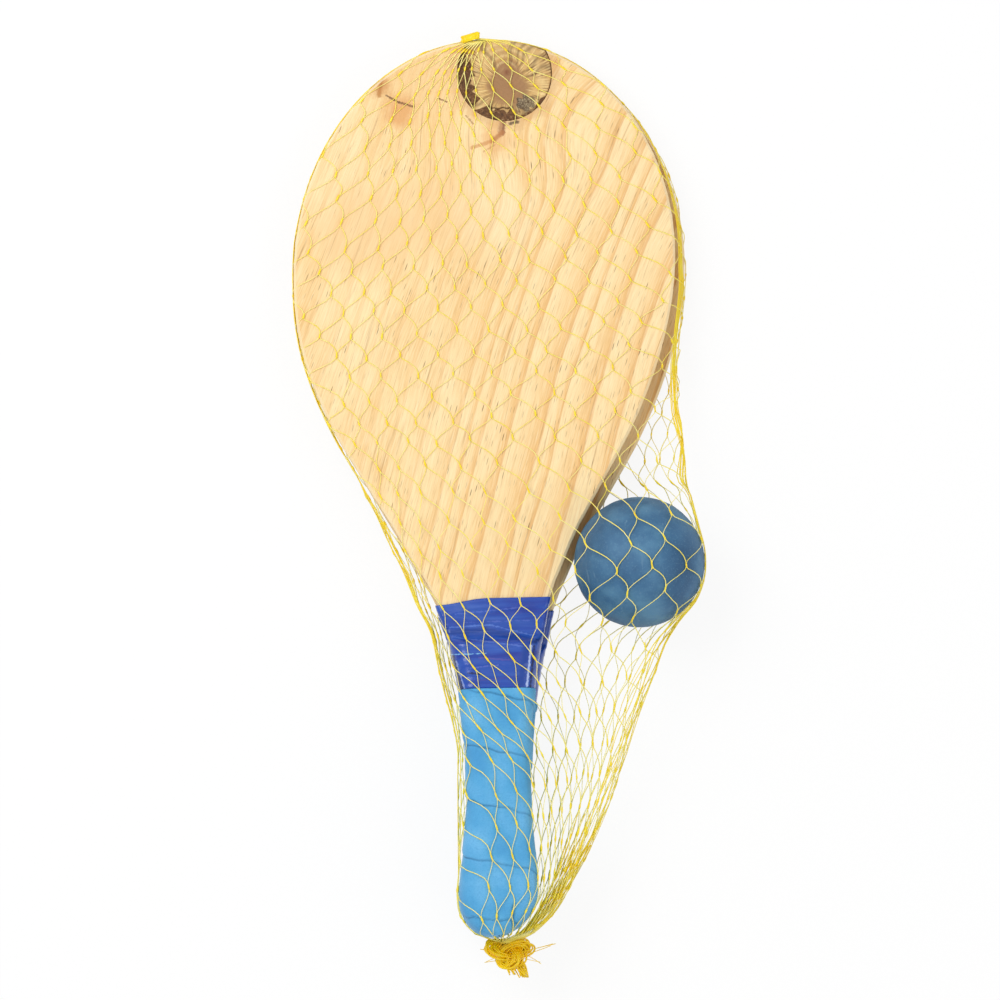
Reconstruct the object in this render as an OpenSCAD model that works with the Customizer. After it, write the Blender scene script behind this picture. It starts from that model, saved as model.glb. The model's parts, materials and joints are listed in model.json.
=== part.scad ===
// Beach paddle ball set in its net bag: two pine paddles, one rubber ball and a knotted net tube.
// The front paddle's length runs along +Y, its tip toward +Y, and the set lies flat on z = 0.

/* [Blade] */
// Length of the blade, from the throat to the tip
blade_l = 244.5; // [225:0.5:265]
// Widest width of the blade
blade_w = 166; // [145:1:185]
// Length of the round crown, from the widest place to the tip
crown_l = 98; // [88:1:108]
// Thickness of the board
board_t = 7; // [5:0.5:9]
// Size of the eased edge of the board
ease = 1; // [0.5:0.1:1.5]
// Diameter of the dead knot near the tip
knot_d = 41.5; // [20:0.5:48]

/* [Handle] */
// Length of the vinyl tape below the throat
tape_l = 39; // [32:1:46]
// Length of the foam grip, from the tape to the butt
grip_l = 107.5; // [95:0.5:120]
// Width of the neck at the throat
throat_w = 50.4; // [44:0.2:56]
// Width of the finished handle at the top of the grip
grip_top_w = 33.5; // [30:0.5:38]
// Width of the finished handle at its waist
waist_w = 27.6; // [25:0.2:32]
// Width of the finished handle at its swell near the butt
swell_w = 33.1; // [30:0.1:38]
// Length of the round end of the butt
butt_r = 18.5; // [12:0.5:24]
// Thickness of each wooden handle scale
scale_t = 6.5; // [5:0.5:8]
// Radius of the long edges of the scales
corner_r = 6; // [3:0.5:6.5]

/* [Wraps] */
// Thickness of the wound vinyl tape
tape_t = 0.8; // [0.4:0.1:1.2]
// Thickness of the foam tape under a lap
foam_t = 0.9; // [0.6:0.1:1.5]
// Height of the edge of each foam lap
lap_step = 0.4; // [0.2:0.1:0.6]
// Advance of the foam tape for each turn
lap_pitch = 24.6; // [22:0.2:26]

/* [Ball] */
// Diameter of the ball
ball_d = 57; // [50:1:62]
// Wall of the hollow ball
ball_wall = 3.6; // [2:0.1:6]
// Place on the rear board's rim nearest to the ball, measured from the throat
ball_contact = 28.4; // [20:0.2:36]
// Room between the ball and that rim
ball_room = 3.1; // [0:0.1:4]

/* [Layout] */
// How far the rear paddle lies toward the butt
rear_shift = 5.5; // [0:0.5:8]
// How far the rear paddle is turned clockwise, in degrees
rear_turn = 1.05; // [0:0.05:2]
// How much shorter the rear handle was cut
rear_trim = 6.5; // [0:0.5:8]
// Clearance between pieces that rest on each other
seat_gap = 0.3; // [0.2:0.05:0.4]

/* [Net bag] */
// Thickness of a net strand
strand_t = 1; // [0.6:0.1:1.4]
// Width of a net strand
strand_w = 1.1; // [0.8:0.1:1.6]
// Clearance between the net and what it holds
net_gap = 1; // [0.8:0.1:1.6]
// Thickness of the moulded seal at the tip
seal_d = 4.4; // [3:0.2:6]
// Width of the seal
seal_w = 8.2; // [6:0.2:10]
// Length of the seal
seal_l = 2.5; // [2:0.1:5]
// Width of the knot in the net
tie_w = 20; // [16:0.5:24]
// Length of the knot in the net
tie_l = 10; // [8:0.5:14]
// Length of the bunched tail past the knot
tail_l = 4.4; // [3:0.1:10]

/* [Hidden] */

// Half widths of the blade's flank: share of the flank's length, share of half the blade's width
flank_shares = [[0.13, 0.406], [0.21, 0.476], [0.33, 0.6], [0.54, 0.806], [0.77, 0.953], [1, 1]];
// How far the hand-cut board wanders off its axis: share of the blade's length, share of its width
sway_shares = [
    [-0.6, 0], [-0.35, 0.007], [-0.1, 0.007], [0, 0.003], [0.1, -0.008], [0.3, -0.012],
    [0.46, -0.01], [0.6, 0], [0.85, 0.013], [1, 0.016]
];
// Places of the waist and of the swell, as shares of the grip's length from the tape
waist_share = 0.4;
swell_share = 0.79;
// Slant of the butt across the handle, and how round its ends are seen from the side
butt_slant_share = 0.17;
slant_reach_share = 1.6;
butt_height_share = 0.7;
// Largest share of a section that its corner radius may take
round_limit_share = 0.95;
// Centre of the dead knot: share of half the blade's width, and of the blade's length
knot_x_share = 0.126;
knot_y_share = 0.939;
knot_fit = 0.15;

// Reach of the net's sides where it bridges the hollows of its load, and the places of these reaches:
// shares of the blade's length, and of the ball's reach on the right or half the blade's width on the left
right_shares = [
    [-0.588, 0.154], [-0.562, 0.24], [-0.509, 0.331], [-0.43, 0.448], [-0.324, 0.567], [-0.192, 0.696],
    [-0.086, 0.8], [-0.007, 0.927], [0.05, 0.985], [0.1, 0.984], [0.153, 0.95], [0.207, 0.92],
    [0.34, 0.895], [0.42, 0.9], [0.527, 0.925], [0.6, 0.917]
];
left_shares = [
    [-0.57, 0.15], [-0.3, 0.19], [-0.211, 0.223], [-0.157, 0.261], [-0.104, 0.294], [-0.05, 0.323],
    [0.004, 0.404], [0.058, 0.463], [0.112, 0.537], [0.166, 0.602], [0.22, 0.672]
];
// Place of the seal across the blade, and of the knot across the handle
seal_x_share = -0.053;
tie_x_share = 0.28;
// Room that the net leaves round the ball, and how much of the hanging pocket is round
ball_room_share = 0.065;
pocket_share = 0.6;
ball_foot_share = 0.2;
ball_full_share = 0.9;

// The scales start below the throat, behind a short ramp
scale_from = 14;
ramp_l = 6;
feather = 0.3;
strand_most_share = 0.6;
wrap_fit = 0.1;
lap_edge = 0.6;
lap_start = 10;
top_margin = 2;
overrun = 5;

// Steps of the curves
crown_steps = 16;
flank_steps = 18;
corner_steps = 3;

handle_l = tape_l + grip_l;
half_stack = board_t / 2 + scale_t + tape_t;
$trim = 0;

function handle_end() = handle_l - $trim;
function smooth(t) = t <= 0 ? 0 : t >= 1 ? 1 : t * t * (3 - 2 * t);
function mix(a, b, t) = a + (b - a) * t;

// A smooth curve through a table of [place, value] rows
function tangent(t, i) =
    let (a = max(i - 1, 0), b = min(i + 1, len(t) - 1)) (t[b][1] - t[a][1]) / (t[b][0] - t[a][0]);
function row_below(t, y, i = 0) = i >= len(t) - 2 || t[i + 1][0] > y ? i : row_below(t, y, i + 1);
function spline(t, y) =
    let (
        i = row_below(t, y),
        gap = t[i + 1][0] - t[i][0],
        u = max(0, min(1, (y - t[i][0]) / gap)),
        rise = tangent(t, i) * gap,
        run = (i + 1 == len(t) - 1 ? 0 : tangent(t, i + 1)) * gap
    )
    (1 + 2 * u) * (1 - u) * (1 - u) * t[i][1] + u * (1 - u) * (1 - u) * rise
    + u * u * (3 - 2 * u) * t[i + 1][1] + u * u * (u - 1) * run;

// Half width of the bare wood and of the wraps, which lie `skin` proud of it
flank_l = blade_l - crown_l;
wood_knots = concat(
    [
        [-handle_l, swell_w / 2 - foam_t],
        [-tape_l - grip_l * swell_share, swell_w / 2 - foam_t],
        [-tape_l - grip_l * waist_share, waist_w / 2 - foam_t],
        [-tape_l, grip_top_w / 2 - foam_t],
        [0, throat_w / 2 - tape_t]
    ],
    [for (s = flank_shares) [flank_l * s[0], blade_w / 2 * s[1]]]
);
function wood_w(y) =
    y > flank_l ? blade_w / 2 * sqrt(max(0, 1 - pow((y - flank_l) / crown_l, 2))) : spline(wood_knots, y);
function sway(y) =
    spline([for (s = sway_shares) [blade_l * s[0], blade_w * s[1]]], y);
function butt_u(y, skin) = max(0, min(1, (butt_r - handle_end() - y) / (butt_r - foam_t + skin)));
function butt_y(angle, skin) = butt_r - handle_end() - (butt_r - foam_t + skin) * sin(angle);
function half_w(y, skin = 0) = (wood_w(y) + skin) * sqrt(1 - pow(butt_u(y, skin), 2));
function scale_h(y) = y > -scale_from ? 0 : mix(feather, scale_t, smooth((-scale_from - y) / ramp_l));
function half_h(y, skin = 0) =
    (board_t / 2 + scale_h(y) + skin) * sqrt(1 - pow(butt_u(y, skin) * butt_height_share, 2));
function skin(y) = y > 0 ? 0 : y > -tape_l ? tape_t : foam_t + lap_step;

// The butt is cut on a slant: its left corner reaches further than its right one
function slant_at(y) =
    let (reach = butt_r * slant_reach_share) butt_slant_share * smooth((reach - handle_end() - y) / reach);
function slant(p) = [p.x + sway(p.y), p.y + p.x * slant_at(p.y), p.z];

butt_angles = [18, 36, 54, 70, 82];
function handle_ys(skin) = concat(
    [for (a = [4:-1:0]) butt_y(butt_angles[a], skin)],
    [for (i = [0:10]) mix(butt_r - handle_end(), -scale_from - ramp_l, i / 10)]
);
ramp_ys = [for (i = [1:4]) mix(-scale_from - ramp_l, -scale_from, i / 4)];
flank_ys = [for (i = [0:flank_steps]) flank_l * i / flank_steps];
crown_angles = [for (i = [1:crown_steps]) 90 * i / crown_steps];

// Flat end of a ring of n points, cut into strips that join its first points to its last ones
function strips(n) = [
    for (i = [0:floor(n / 2)])
        if (i + 1 < n - 2 - i) [i, i + 1, n - 2 - i, n - 1 - i]
        else if (i + 1 == n - 2 - i) [i, i + 1, n - 1 - i]
];

// Solid lofted through rings of equal length, which turn counter-clockwise seen along the loft
module loft(rings) {
    n = len(rings[0]);
    last = len(rings) - 1;
    polyhedron(
        points = [for (r = rings) each r],
        faces = concat(
            [for (f = strips(n)) [for (i = [len(f) - 1:-1:0]) f[i]]],
            [
                for (k = [0:last - 1], i = [0:n - 1])
                    let (a = k * n + i, b = k * n + (i + 1) % n) each [[a, b + n, a + n], [a, b, b + n]]
            ],
            [for (f = strips(n)) [for (i = f) last * n + i]]
        )
    );
}

// Tube lofted through outer and inner rings, open at both ends
module sleeve(outer, inner) {
    n = len(outer[0]);
    rings = concat(outer, [for (i = [len(inner) - 1:-1:0]) inner[i]]);
    count = len(rings);
    polyhedron(
        points = [for (r = rings) each r],
        faces = [
            for (k = [0:count - 1], i = [0:n - 1])
                let (
                    a = k * n + i,
                    b = k * n + (i + 1) % n,
                    c = (k + 1) % count * n + i,
                    d = (k + 1) % count * n + (i + 1) % n
                )
                each [[a, d, c], [a, b, d]]
        ]
    );
}

// Point i of a rounded rectangle, counter-clockwise seen along +Y, from its right side upward
ring_n = 4 * (corner_steps + 1);
function frame_point(w, h, r, i) =
    let (
        q = floor(i / (corner_steps + 1)),
        a = 90 * (q + i % (corner_steps + 1) / corner_steps),
        sx = q == 0 || q == 3 ? 1 : -1,
        sz = q < 2 ? 1 : -1
    )
    [sx * (w - r) + r * cos(a), sz * (h - r) + r * sin(a)];
function corner_at(y) = max(ease, min(corner_r, half_h(y) - board_t / 2));
function wrap_point(y, skin, i) =
    let (
        w = half_w(y, skin),
        h = half_h(y, skin),
        p = frame_point(w, h, min(w * round_limit_share, h * round_limit_share, corner_at(y) + skin), i)
    )
    slant([p.x, y, p.y]);
function wrap_ring(y, skin) = [for (i = [0:ring_n - 1]) wrap_point(y, skin, i)];

// Outline of the board, counter-clockwise seen from above, from the tip down the left side
function right_side() = concat(
    [for (y = handle_ys(0)) [half_w(y), y]],
    [for (y = [each ramp_ys, -scale_from / 2, each flank_ys]) [half_w(y), y]],
    [for (a = crown_angles) if (a < 90) [blade_w / 2 * cos(a), flank_l + crown_l * sin(a)]]
);
function board_outline() =
    let (right = right_side(), n = len(right))
    concat(right, [[0, blade_l]], [for (i = [n - 1:-1:0]) [-right[i].x, right[i].y]]);
function inset(pts, d) =
    let (n = len(pts))
    [
        for (i = [0:n - 1])
            let (t = pts[(i + 1) % n] - pts[(i + n - 1) % n], m = norm(t))
            [pts[i].x - d * t.y / m, pts[i].y + d * t.x / m]
    ];
function lifted(pts, z) = [for (p = pts) slant([p.x, p.y, z])];

module blank() {
    out = board_outline();
    small = inset(out, ease);
    h = board_t / 2;
    loft([lifted(small, h), lifted(out, h - ease), lifted(out, ease - h), lifted(small, -h)]);
}

module knot_core(fit) {
    translate([blade_w / 2 * knot_x_share, blade_l * knot_y_share, -board_t / 2 - overrun])
        cylinder(d = knot_d - fit * 2, h = board_t + overrun * 2, $fn = 72);
}

// One wooden scale on the face of the board, rounded along its outer edges
function scale_corner(x, z, r, side, i) =
    let (a = (side > 0 ? 0 : 90) + 90 * i / corner_steps) [side * x + r * cos(a), z + r * sin(a)];
function scale_ring(y) =
    let (
        base = board_t / 2,
        h = half_h(y),
        w = half_w(y) - max(0, ease - scale_h(y)),
        r = min(corner_r, h - base, w * round_limit_share)
    )
    [
        for (p = concat(
            [[w, base]],
            [for (side = [1, -1], i = [0:corner_steps]) scale_corner(w - r, h - r, r, side, i)],
            [[-w, base]]
        )) slant([p.x, y, p.y])
    ];
module scale_solid() {
    loft([for (y = concat(handle_ys(0), ramp_ys)) scale_ring(y)]);
}

module tape_solid() {
    ramp_foot = -scale_from - ramp_l;
    ys = concat([-tape_l, (ramp_foot - tape_l) / 2, ramp_foot], ramp_ys, [-scale_from / 2, 0]);
    sleeve([for (y = ys) wrap_ring(y, tape_t)], [for (y = ys) wrap_ring(y, wrap_fit)]);
}

// Foam tape wound up the handle from the butt: each lap's lower edge stands proud of the lap before it
function arc_to(pts, i) = i == 0 ? 0 : arc_to(pts, i - 1) + norm(pts[i] - pts[i - 1]);
module grip_solid() {
    n = ring_n;
    base_y = butt_r - handle_end();
    top_y = -tape_l - wrap_fit;
    first_y = base_y + lap_start;
    turns = floor((top_y - top_margin - first_y) / lap_pitch) - 1;
    waist = wrap_ring(-tape_l - grip_l * waist_share, foam_t);
    girth = arc_to([each waist, waist[0]], n);
    columns = [for (i = [0:n - 1]) arc_to(waist, i) / girth];
    lap_shares = [0, 0, 0.35, 0.7];
    high = foam_t + lap_step;

    function seam_y(a) = first_y + lap_pitch * (floor(a / n) + columns[a % n]);
    function lap_y(a, m) = seam_y(a) + (m == 1 ? lap_edge : lap_pitch * lap_shares[m]);
    function proud(m) = m == 0 ? foam_t : mix(high, foam_t, lap_shares[m]);

    ends = [for (i = [4:-1:0]) butt_y(butt_angles[i], foam_t)];
    outer = [for (y = [each ends, base_y]) each wrap_ring(y, foam_t)];
    fill = [
        for (a = [1:n - 1], m = [1:2]) wrap_point(mix(base_y, seam_y(a), m / 3), foam_t, a)
    ];
    step = [wrap_point(mix(seam_y(0), seam_y(n), 1 / 2), foam_t, 0)];
    seams = [for (a = [0:(turns + 1) * n]) wrap_point(seam_y(a), foam_t, a % n)];
    laps = [for (a = [0:turns * n], m = [1:3]) wrap_point(lap_y(a, m), proud(m), a % n)];
    last = [
        for (i = [1:n], m = [1:4])
            let (y = seam_y(turns * n + i) + lap_edge, t = (m - 1) / 4)
            wrap_point(mix(y, top_y, t), mix(high, foam_t, t), i % n)
    ];
    fit_ys = handle_ys(wrap_fit);
    inner_ys = [top_y, for (i = [len(fit_ys) - 1:-1:0]) if (fit_ys[i] < top_y - top_margin) fit_ys[i]];
    inner = [for (y = inner_ys) each wrap_ring(y, wrap_fit)];
    at_fill = len(outer);
    at_step = at_fill + len(fill);
    at_seam = at_step + 1;
    at_lap = at_seam + len(seams);
    at_last = at_lap + len(laps);
    at_top = at_last + len(last);
    base = len(ends) * n;
    end = turns * n;

    function fill_index(a, m) =
        m == 0 ? base + a % n
        : a == 0 ? at_seam
        : a == n ? [0, at_seam, at_step, at_seam + n][m]
        : m == 3 ? at_seam + a : at_fill + (a - 1) * 2 + m - 1;
    function lap_index(a, m) =
        m == 0 ? at_seam + a : m == 4 ? at_seam + a + n : at_lap + a * 3 + m - 1;
    function last_index(i, m) =
        m == 5 ? at_top + i % n
        : i == 0 ? lap_index(end, m)
        : m == 0 ? at_seam + end + i : at_last + (i - 1) * 4 + m - 1;
    function quad(a, b, c, d) = [
        if (a != d && d != c && a != c) [a, d, c],
        if (a != b && b != d && a != d) [a, b, d]
    ];
    tops = wrap_ring(top_y, foam_t);
    rings = len(inner_ys);

    polyhedron(
        points = concat(outer, fill, step, seams, laps, last, tops, inner),
        faces = [
            [for (i = [n - 1:-1:0]) i],
            for (k = [0:len(ends) - 1], i = [0:n - 1])
                each quad(k * n + i, k * n + (i + 1) % n, (k + 1) * n + i, (k + 1) * n + (i + 1) % n),
            for (a = [0:n - 1], m = [0:2])
                each quad(fill_index(a, m), fill_index(a + 1, m),
                    fill_index(a, m + 1), fill_index(a + 1, m + 1)),
            for (m = [0:3]) [at_step, lap_index(0, m), lap_index(0, m + 1)],
            for (a = [0:end - 1], m = [0:3])
                each quad(lap_index(a, m), lap_index(a + 1, m), lap_index(a, m + 1), lap_index(a + 1, m + 1)),
            for (i = [0:n - 1], m = [0:4])
                each quad(last_index(i, m), last_index(i + 1, m),
                    last_index(i, m + 1), last_index(i + 1, m + 1)),
            for (m = [1:4]) [last_index(n, 0), last_index(n, m + 1), last_index(n, m)],
            for (k = [0:rings - 1], i = [0:n - 1])
                each quad(at_top + k * n + i, at_top + k * n + (i + 1) % n, at_top + (k + 1) * n + i,
                    at_top + (k + 1) * n + (i + 1) % n),
            [for (i = [0:n - 1]) at_top + rings * n + i]
        ]
    );
}

// How the set lies: each paddle rests on the throat end of its scale and on the tip of its blade
ground = strand_t + seat_gap;
fulcrum = scale_from + ramp_l + rear_shift;
rear_tilt = atan((half_stack - board_t / 2) / (blade_l - rear_shift + fulcrum));
front_tilt = rear_tilt + atan((2 * half_stack - board_t) / (blade_l - rear_shift + fulcrum));
rear_z = ground + half_stack * cos(rear_tilt);
lift = 2 * half_stack + seat_gap;
front_z = rear_z + lift * cos(rear_tilt);

function tilt_z(z, tilt, y) = z - (y + fulcrum) * tan(tilt);
function rear_x(y) = (y + handle_l / 2) * tan(rear_turn);
function rear_edge(y) = rear_x(y) + sway(y + rear_shift) + half_w(y + rear_shift);

// The ball rests on the ground beside the rear board, partly over its rim
ball_r = ball_d / 2;
ball_z = ground + ball_r + seat_gap * 2;
rim_z = tilt_z(rear_z, rear_tilt, ball_contact) + board_t / 2;
ball_reach = sqrt(max(0, pow(ball_r, 2) - pow(ball_z - rim_z, 2))) + ball_room;
rim_slope = (rear_edge(ball_contact + ease) - rear_edge(ball_contact - ease)) / (2 * ease);
ball_x = rear_edge(ball_contact) + ball_reach * cos(atan(rim_slope));
ball_y = ball_contact - ball_reach * sin(atan(rim_slope));

module tilted(tilt, z) {
    translate([0, -fulcrum, z]) rotate([-tilt, 0, 0]) translate([0, fulcrum, 0]) children();
}
module as_front() {
    tilted(front_tilt, front_z) children();
}
module as_rear() {
    $trim = rear_trim;
    tilted(rear_tilt, rear_z)
        translate([0, -handle_l / 2, 0])
            rotate([0, 0, -rear_turn])
                translate([0, handle_l / 2 - rear_shift, 0])
                    children();
}

// Sections of the load across the paddles, as discs of [x, z, radius]
function held(y) =
    y < -handle_l ? butt_y(held_angle, foam_t)
    : max(butt_r - handle_l, min(flank_l + crown_l * sin(last_angle), y));
function before_ramp(y) = y < row_gap - scale_from - ramp_l ? min(y, -scale_from - ramp_l) : y;
function paddle_discs(x, z, place) =
    let (
        y = held(place),
        w = half_w(y, skin(y)),
        h = half_h(before_ramp(y), skin(y)),
        r = min(ease, w),
        middle = x + sway(y),
        grown = r + (y < 0 ? grip_room : 0)
    )
    [for (sx = [-1, 1], sz = [-1, 1]) [middle + sx * (w - r), z + sz * (h - r), grown]];
function ball_disc(y) =
    abs(y - ball_y) >= ball_r ? []
    : let (r = sqrt(pow(ball_r, 2) - pow(y - ball_y, 2)))
    [
        [ball_x, ball_z, r + ball_r * ball_room_share],
        if (r > ball_r * ball_full_share) [ball_x + r * ball_foot_share, ground + ease, ease]
    ];
function stack_z(y) = (tilt_z(rear_z, rear_tilt, y) + tilt_z(front_z, front_tilt, y)) / 2;
function right_disc(y) =
    y > right_shares[len(right_shares) - 1][0] * blade_l ? []
    : let (
        reach = (ball_x + ball_r) * spline_at(right_shares, y / blade_l),
        down = max(0, (ball_y - y) / (ball_y + handle_l)),
        up = max(0, (y - ball_y) / (flank_l - ball_y)),
        z = up > 0 ? mix(ball_z, stack_z(y), min(1, up * 2)) : mix(ball_z, neck_z, down),
        r = up > 0 ? ease : mix(ball_r * pocket_share, neck_r, sqrt(down))
    )
    [[reach - r, z, r]];
function left_disc(y) =
    y > left_shares[len(left_shares) - 1][0] * blade_l ? []
    : [[ease - blade_w / 2 * spline_at(left_shares, y / blade_l), stack_z(y), ease]];
function spline_at(t, y) = spline(t, max(t[0][0], min(t[len(t) - 1][0], y)));
function floor_discs(y) =
    let (
        inside = max(-handle_l, min(blade_l - rear_shift, y)) + rear_shift,
        beyond = mix(-half_stack, floor_more, smooth(y / row_gap)),
        w = max(0, half_w(inside, skin(inside)) + beyond)
    )
    [for (sx = [-1, 1]) [rear_x(y) + sx * w, ground + ease, ease]];
function load(y) = concat(
    paddle_discs(0, tilt_z(front_z, front_tilt, y), y),
    paddle_discs(rear_x(y), tilt_z(rear_z, rear_tilt, y), y + rear_shift),
    floor_discs(y),
    [for (d = [-1, 0, 1]) each ball_disc(y + d * row_gap * row_share)],
    right_disc(y),
    left_disc(y)
);

// Rows of the net: the knot's neck, the butts, even rows along the load, the crown, and the seal
straight_rows = 11;
crown_rows = [16, 32, 47, 61, 73, 84];
held_angle = 54;
last_angle = 78;
room_from_share = 3;
rim_share = 0.8;
row_share = 0.3;
butt_row_y = -handle_l - net_gap * 2;
grip_room = 0.6;
floor_more = 1.5;
row_gap = (flank_l + handle_l - butt_r / 2) / straight_rows;
rows = concat(
    [butt_row_y],
    [for (i = [0:straight_rows]) butt_r / 2 - handle_l + row_gap * i],
    [for (a = crown_rows) flank_l + crown_l * sin(a)]
);
neck_share = 0.22;
neck_r = tie_w * neck_share;
neck_y = butt_row_y - strand_t;
neck_x = waist_w / 2 * tie_x_share;
neck_z = (tilt_z(rear_z, rear_tilt, -handle_l) + tilt_z(front_z, front_tilt, -handle_l)) / 2;
seal_x = blade_w / 2 * seal_x_share;
seal_z = tilt_z(front_z, front_tilt, blade_l);
seal_y = blade_l + net_gap;
rim_room = crown_l * (1 - cos(crown_rows[0] * rim_share));
function room(y) = net_gap + rim_room * smooth(y * room_from_share / flank_l - 1);
collar = strand_t / 2;

// Net tube: half columns run clockwise seen along +Y from the upper left corner of each section
faces_of = [10, 4, 10, 4];
half_columns = faces_of[0] + faces_of[1] + faces_of[2] + faces_of[3];
columns = half_columns / 2;
first_rows = [0, faces_of[0], faces_of[0] + faces_of[1], half_columns - faces_of[3], half_columns];
function side_of(h) = h < first_rows[1] ? 0 : h < first_rows[2] ? 1 : h < first_rows[3] ? 2 : 3;
function angle_of(h) = let (s = side_of(h)) 135 - 90 * (s + (h - first_rows[s]) / faces_of[s]);

hull_steps = 12;
function support(discs, a, clear) =
    let (
        n = [cos(a), sin(a)],
        reach = [for (d = discs) d.x * n.x + d.y * n.y + d[2]],
        far = max(reach),
        best = [for (i = [0:len(discs) - 1]) if (reach[i] >= far) discs[i]][0],
        out = best[2] + clear / max(abs(n.x), abs(n.y))
    )
    [best.x + out * n.x, best.y + out * n.y];
function side_points(discs, side, clear) = [
    for (i = [0:hull_steps]) support(discs, 135 - 90 * (side + i / hull_steps), clear)
];
function gap_before(pts, i) = i < len(pts) ? norm(pts[i] - pts[i - 1]) : 0;
function run_lengths(pts) = [for (i = 0, l = 0; i < len(pts); i = i + 1, l = l + gap_before(pts, i)) l];
function along(pts, share) =
    let (l = run_lengths(pts), n = len(pts), at = share * l[n - 1])
    [
        lookup(at, [for (i = [0:n - 1]) [l[i], pts[i].x]]),
        lookup(at, [for (i = [0:n - 1]) [l[i], pts[i].y]])
    ];
function section(y, clear) =
    let (discs = load(y))
    [
        for (s = [0:3])
            let (pts = side_points(discs, s, clear))
            for (i = [0:faces_of[s] - 1]) along(pts, i / faces_of[s])
    ];
function ring_of(x, z, r) =
    [for (h = [0:half_columns - 1]) [x + r * cos(angle_of(h)), z + r * sin(angle_of(h))]];
function placed(pts, y) = [for (p = pts) [p.x, y, p.y]];

module net_tube() {
    last = len(rows) + 1;
    function skin_rings(out) = [
        placed(ring_of(neck_x, neck_z, neck_r + out * strand_t), neck_y),
        for (y = rows)
            let (low = (1 - out) * strand_t)
            [for (p = placed(section(y, room(y) + out * strand_t), y)) slant([p.x, y, max(low, p.z)])],
        placed(ring_of(seal_x, seal_z, seal_d / 4 + out * strand_t / 2), seal_y)
    ];
    skins = [skin_rings(1), skin_rings(0)];
    function at(s, j, h) = skins[s][j][(h + half_columns) % half_columns];

    // Corners of the open diamond in row j and column c: left, top, right and bottom
    function middle(j, c) = 2 * c + j % 2 + 1;
    function corner(s, j, c, m) =
        let (
            h = middle(j, c),
            mid = at(s, j, h),
            far = m == 0 ? at(s, j, h - 1) : m == 1 ? at(s, min(last, j + 1), h)
                : m == 2 ? at(s, j, h + 1) : at(s, max(0, j - 1), h),
            a = norm(at(0, j, h - 1) - at(0, j, h + 1)) / 2,
            b = norm(at(0, min(last, j + 1), h) - at(0, max(0, j - 1), h)) / 2,
            back = min(strand_most_share, strand_w / 2 * norm([a, b]) / (a * b))
        )
        mix(far, mid, back);
    cells = (last + 1) * columns;
    function index(s, j, c, m) = ((s * (last + 1) + j) * columns + (c + columns) % columns) * 4 + m;
    function next_to(j, h) = (h - 1 - (j + 1) % 2) / 2;
    ends = 8 * cells;
    function end_index(s, e, h) = ends + (s * 2 + e) * half_columns + (h + half_columns) % half_columns;
    function four(s, a, b, c, d) = s == 0 ? [[a, b, c], [a, c, d]] : [[c, b, a], [d, c, a]];
    end_rings = [
        for (s = [0, 1], e = [0, 1])
            for (h = [0:half_columns - 1])
                at(s, e * last, h) + [0, (2 * e - 1) * collar, 0]
    ];

    polyhedron(
        points = concat(
            [for (s = [0, 1], j = [0:last], c = [0:columns - 1], m = [0:3]) corner(s, j, c, m)],
            end_rings
        ),
        faces = [
            for (s = [0, 1], j = [0:last], c = [0:columns - 1])
                let (h = middle(j, c) - 1, side = next_to(j, h), next = next_to(j, h + 2))
                each [
                    // Legs that rise to the right and to the left
                    if (j < last) each four(s, index(s, j + 1, side, 3), index(s, j + 1, side, 2),
                        index(s, j, c, 1), index(s, j, c, 0)),
                    if (j < last) each four(s, index(s, j, c, 2), index(s, j, c, 1),
                        index(s, j + 1, next, 0), index(s, j + 1, next, 3)),
                    // Knot of four legs, and the collars at the ends of the tube
                    each four(s, j < last ? index(s, j + 1, side, 3) : end_index(s, 1, h), index(s, j, c, 0),
                        j > 0 ? index(s, j - 1, side, 1) : end_index(s, 0, h), index(s, j, c - 1, 2)),
                    if (j == 0) each four(s, end_index(s, 0, h), index(s, 0, c, 0), index(s, 0, c, 2),
                        end_index(s, 0, h + 2)),
                    if (j == last) each four(s, index(s, j, c, 0), end_index(s, 1, h), end_index(s, 1, h + 2),
                        index(s, j, c, 2))
                ],
            // Walls of the open diamonds
            for (j = [0:last], c = [0:columns - 1])
                let (loop = j == 0 ? [0, 1, 2] : j == last ? [0, 2, 3] : [0, 1, 2, 3], n = len(loop))
                for (i = [0:n - 1])
                    let (a = loop[i], b = loop[(i + 1) % n])
                    each four(0, index(0, j, c, a), index(0, j, c, b), index(1, j, c, b), index(1, j, c, a)),
            // Flat ends
            for (c = [0:columns - 1])
                let (h = 2 * c, k = middle(last, c) - 1)
                each concat(
                    four(0, end_index(0, 0, h), end_index(0, 0, h + 2),
                        end_index(1, 0, h + 2), end_index(1, 0, h)),
                    four(1, end_index(0, 1, k), end_index(0, 1, k + 2),
                        end_index(1, 1, k + 2), end_index(1, 1, k))
                )
        ]
    );
}

// Lumpy knot tied in the bunched net, and the bunch of ends past it
knot_shares = [[0, 0.52], [0.12, 0.86], [0.35, 1], [0.6, 0.92], [0.82, 0.62], [1, 0.36]];
knot_steps = 20;
knot_twist = 240;
lobe_share = 0.09;
knot_flat_share = 0.72;
function lobed_ring(x, y, z, r, flat, turn, lobes) = [
    for (i = [0:knot_steps - 1])
        let (a = 360 * i / knot_steps, k = r * (1 + lobe_share * cos(lobes * a + turn)))
        [x + k * cos(a), y, z + k * flat * sin(a)]
];
module knot_solid() {
    loft([
        for (k = [len(knot_shares) - 1:-1:0])
            let (s = knot_shares[k][0], r = tie_w / 2 * knot_shares[k][1], top = neck_y - collar - wrap_fit)
            lobed_ring(neck_x, top - tie_l * s, neck_z, r, knot_flat_share, knot_twist * s, 3)
    ]);
}
tail_shares = [[0, 0.7], [0.3, 0.8], [0.7, 0.95], [1, 1]];
tail_w_share = 0.24;
tail_lean_share = 0.5;
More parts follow.
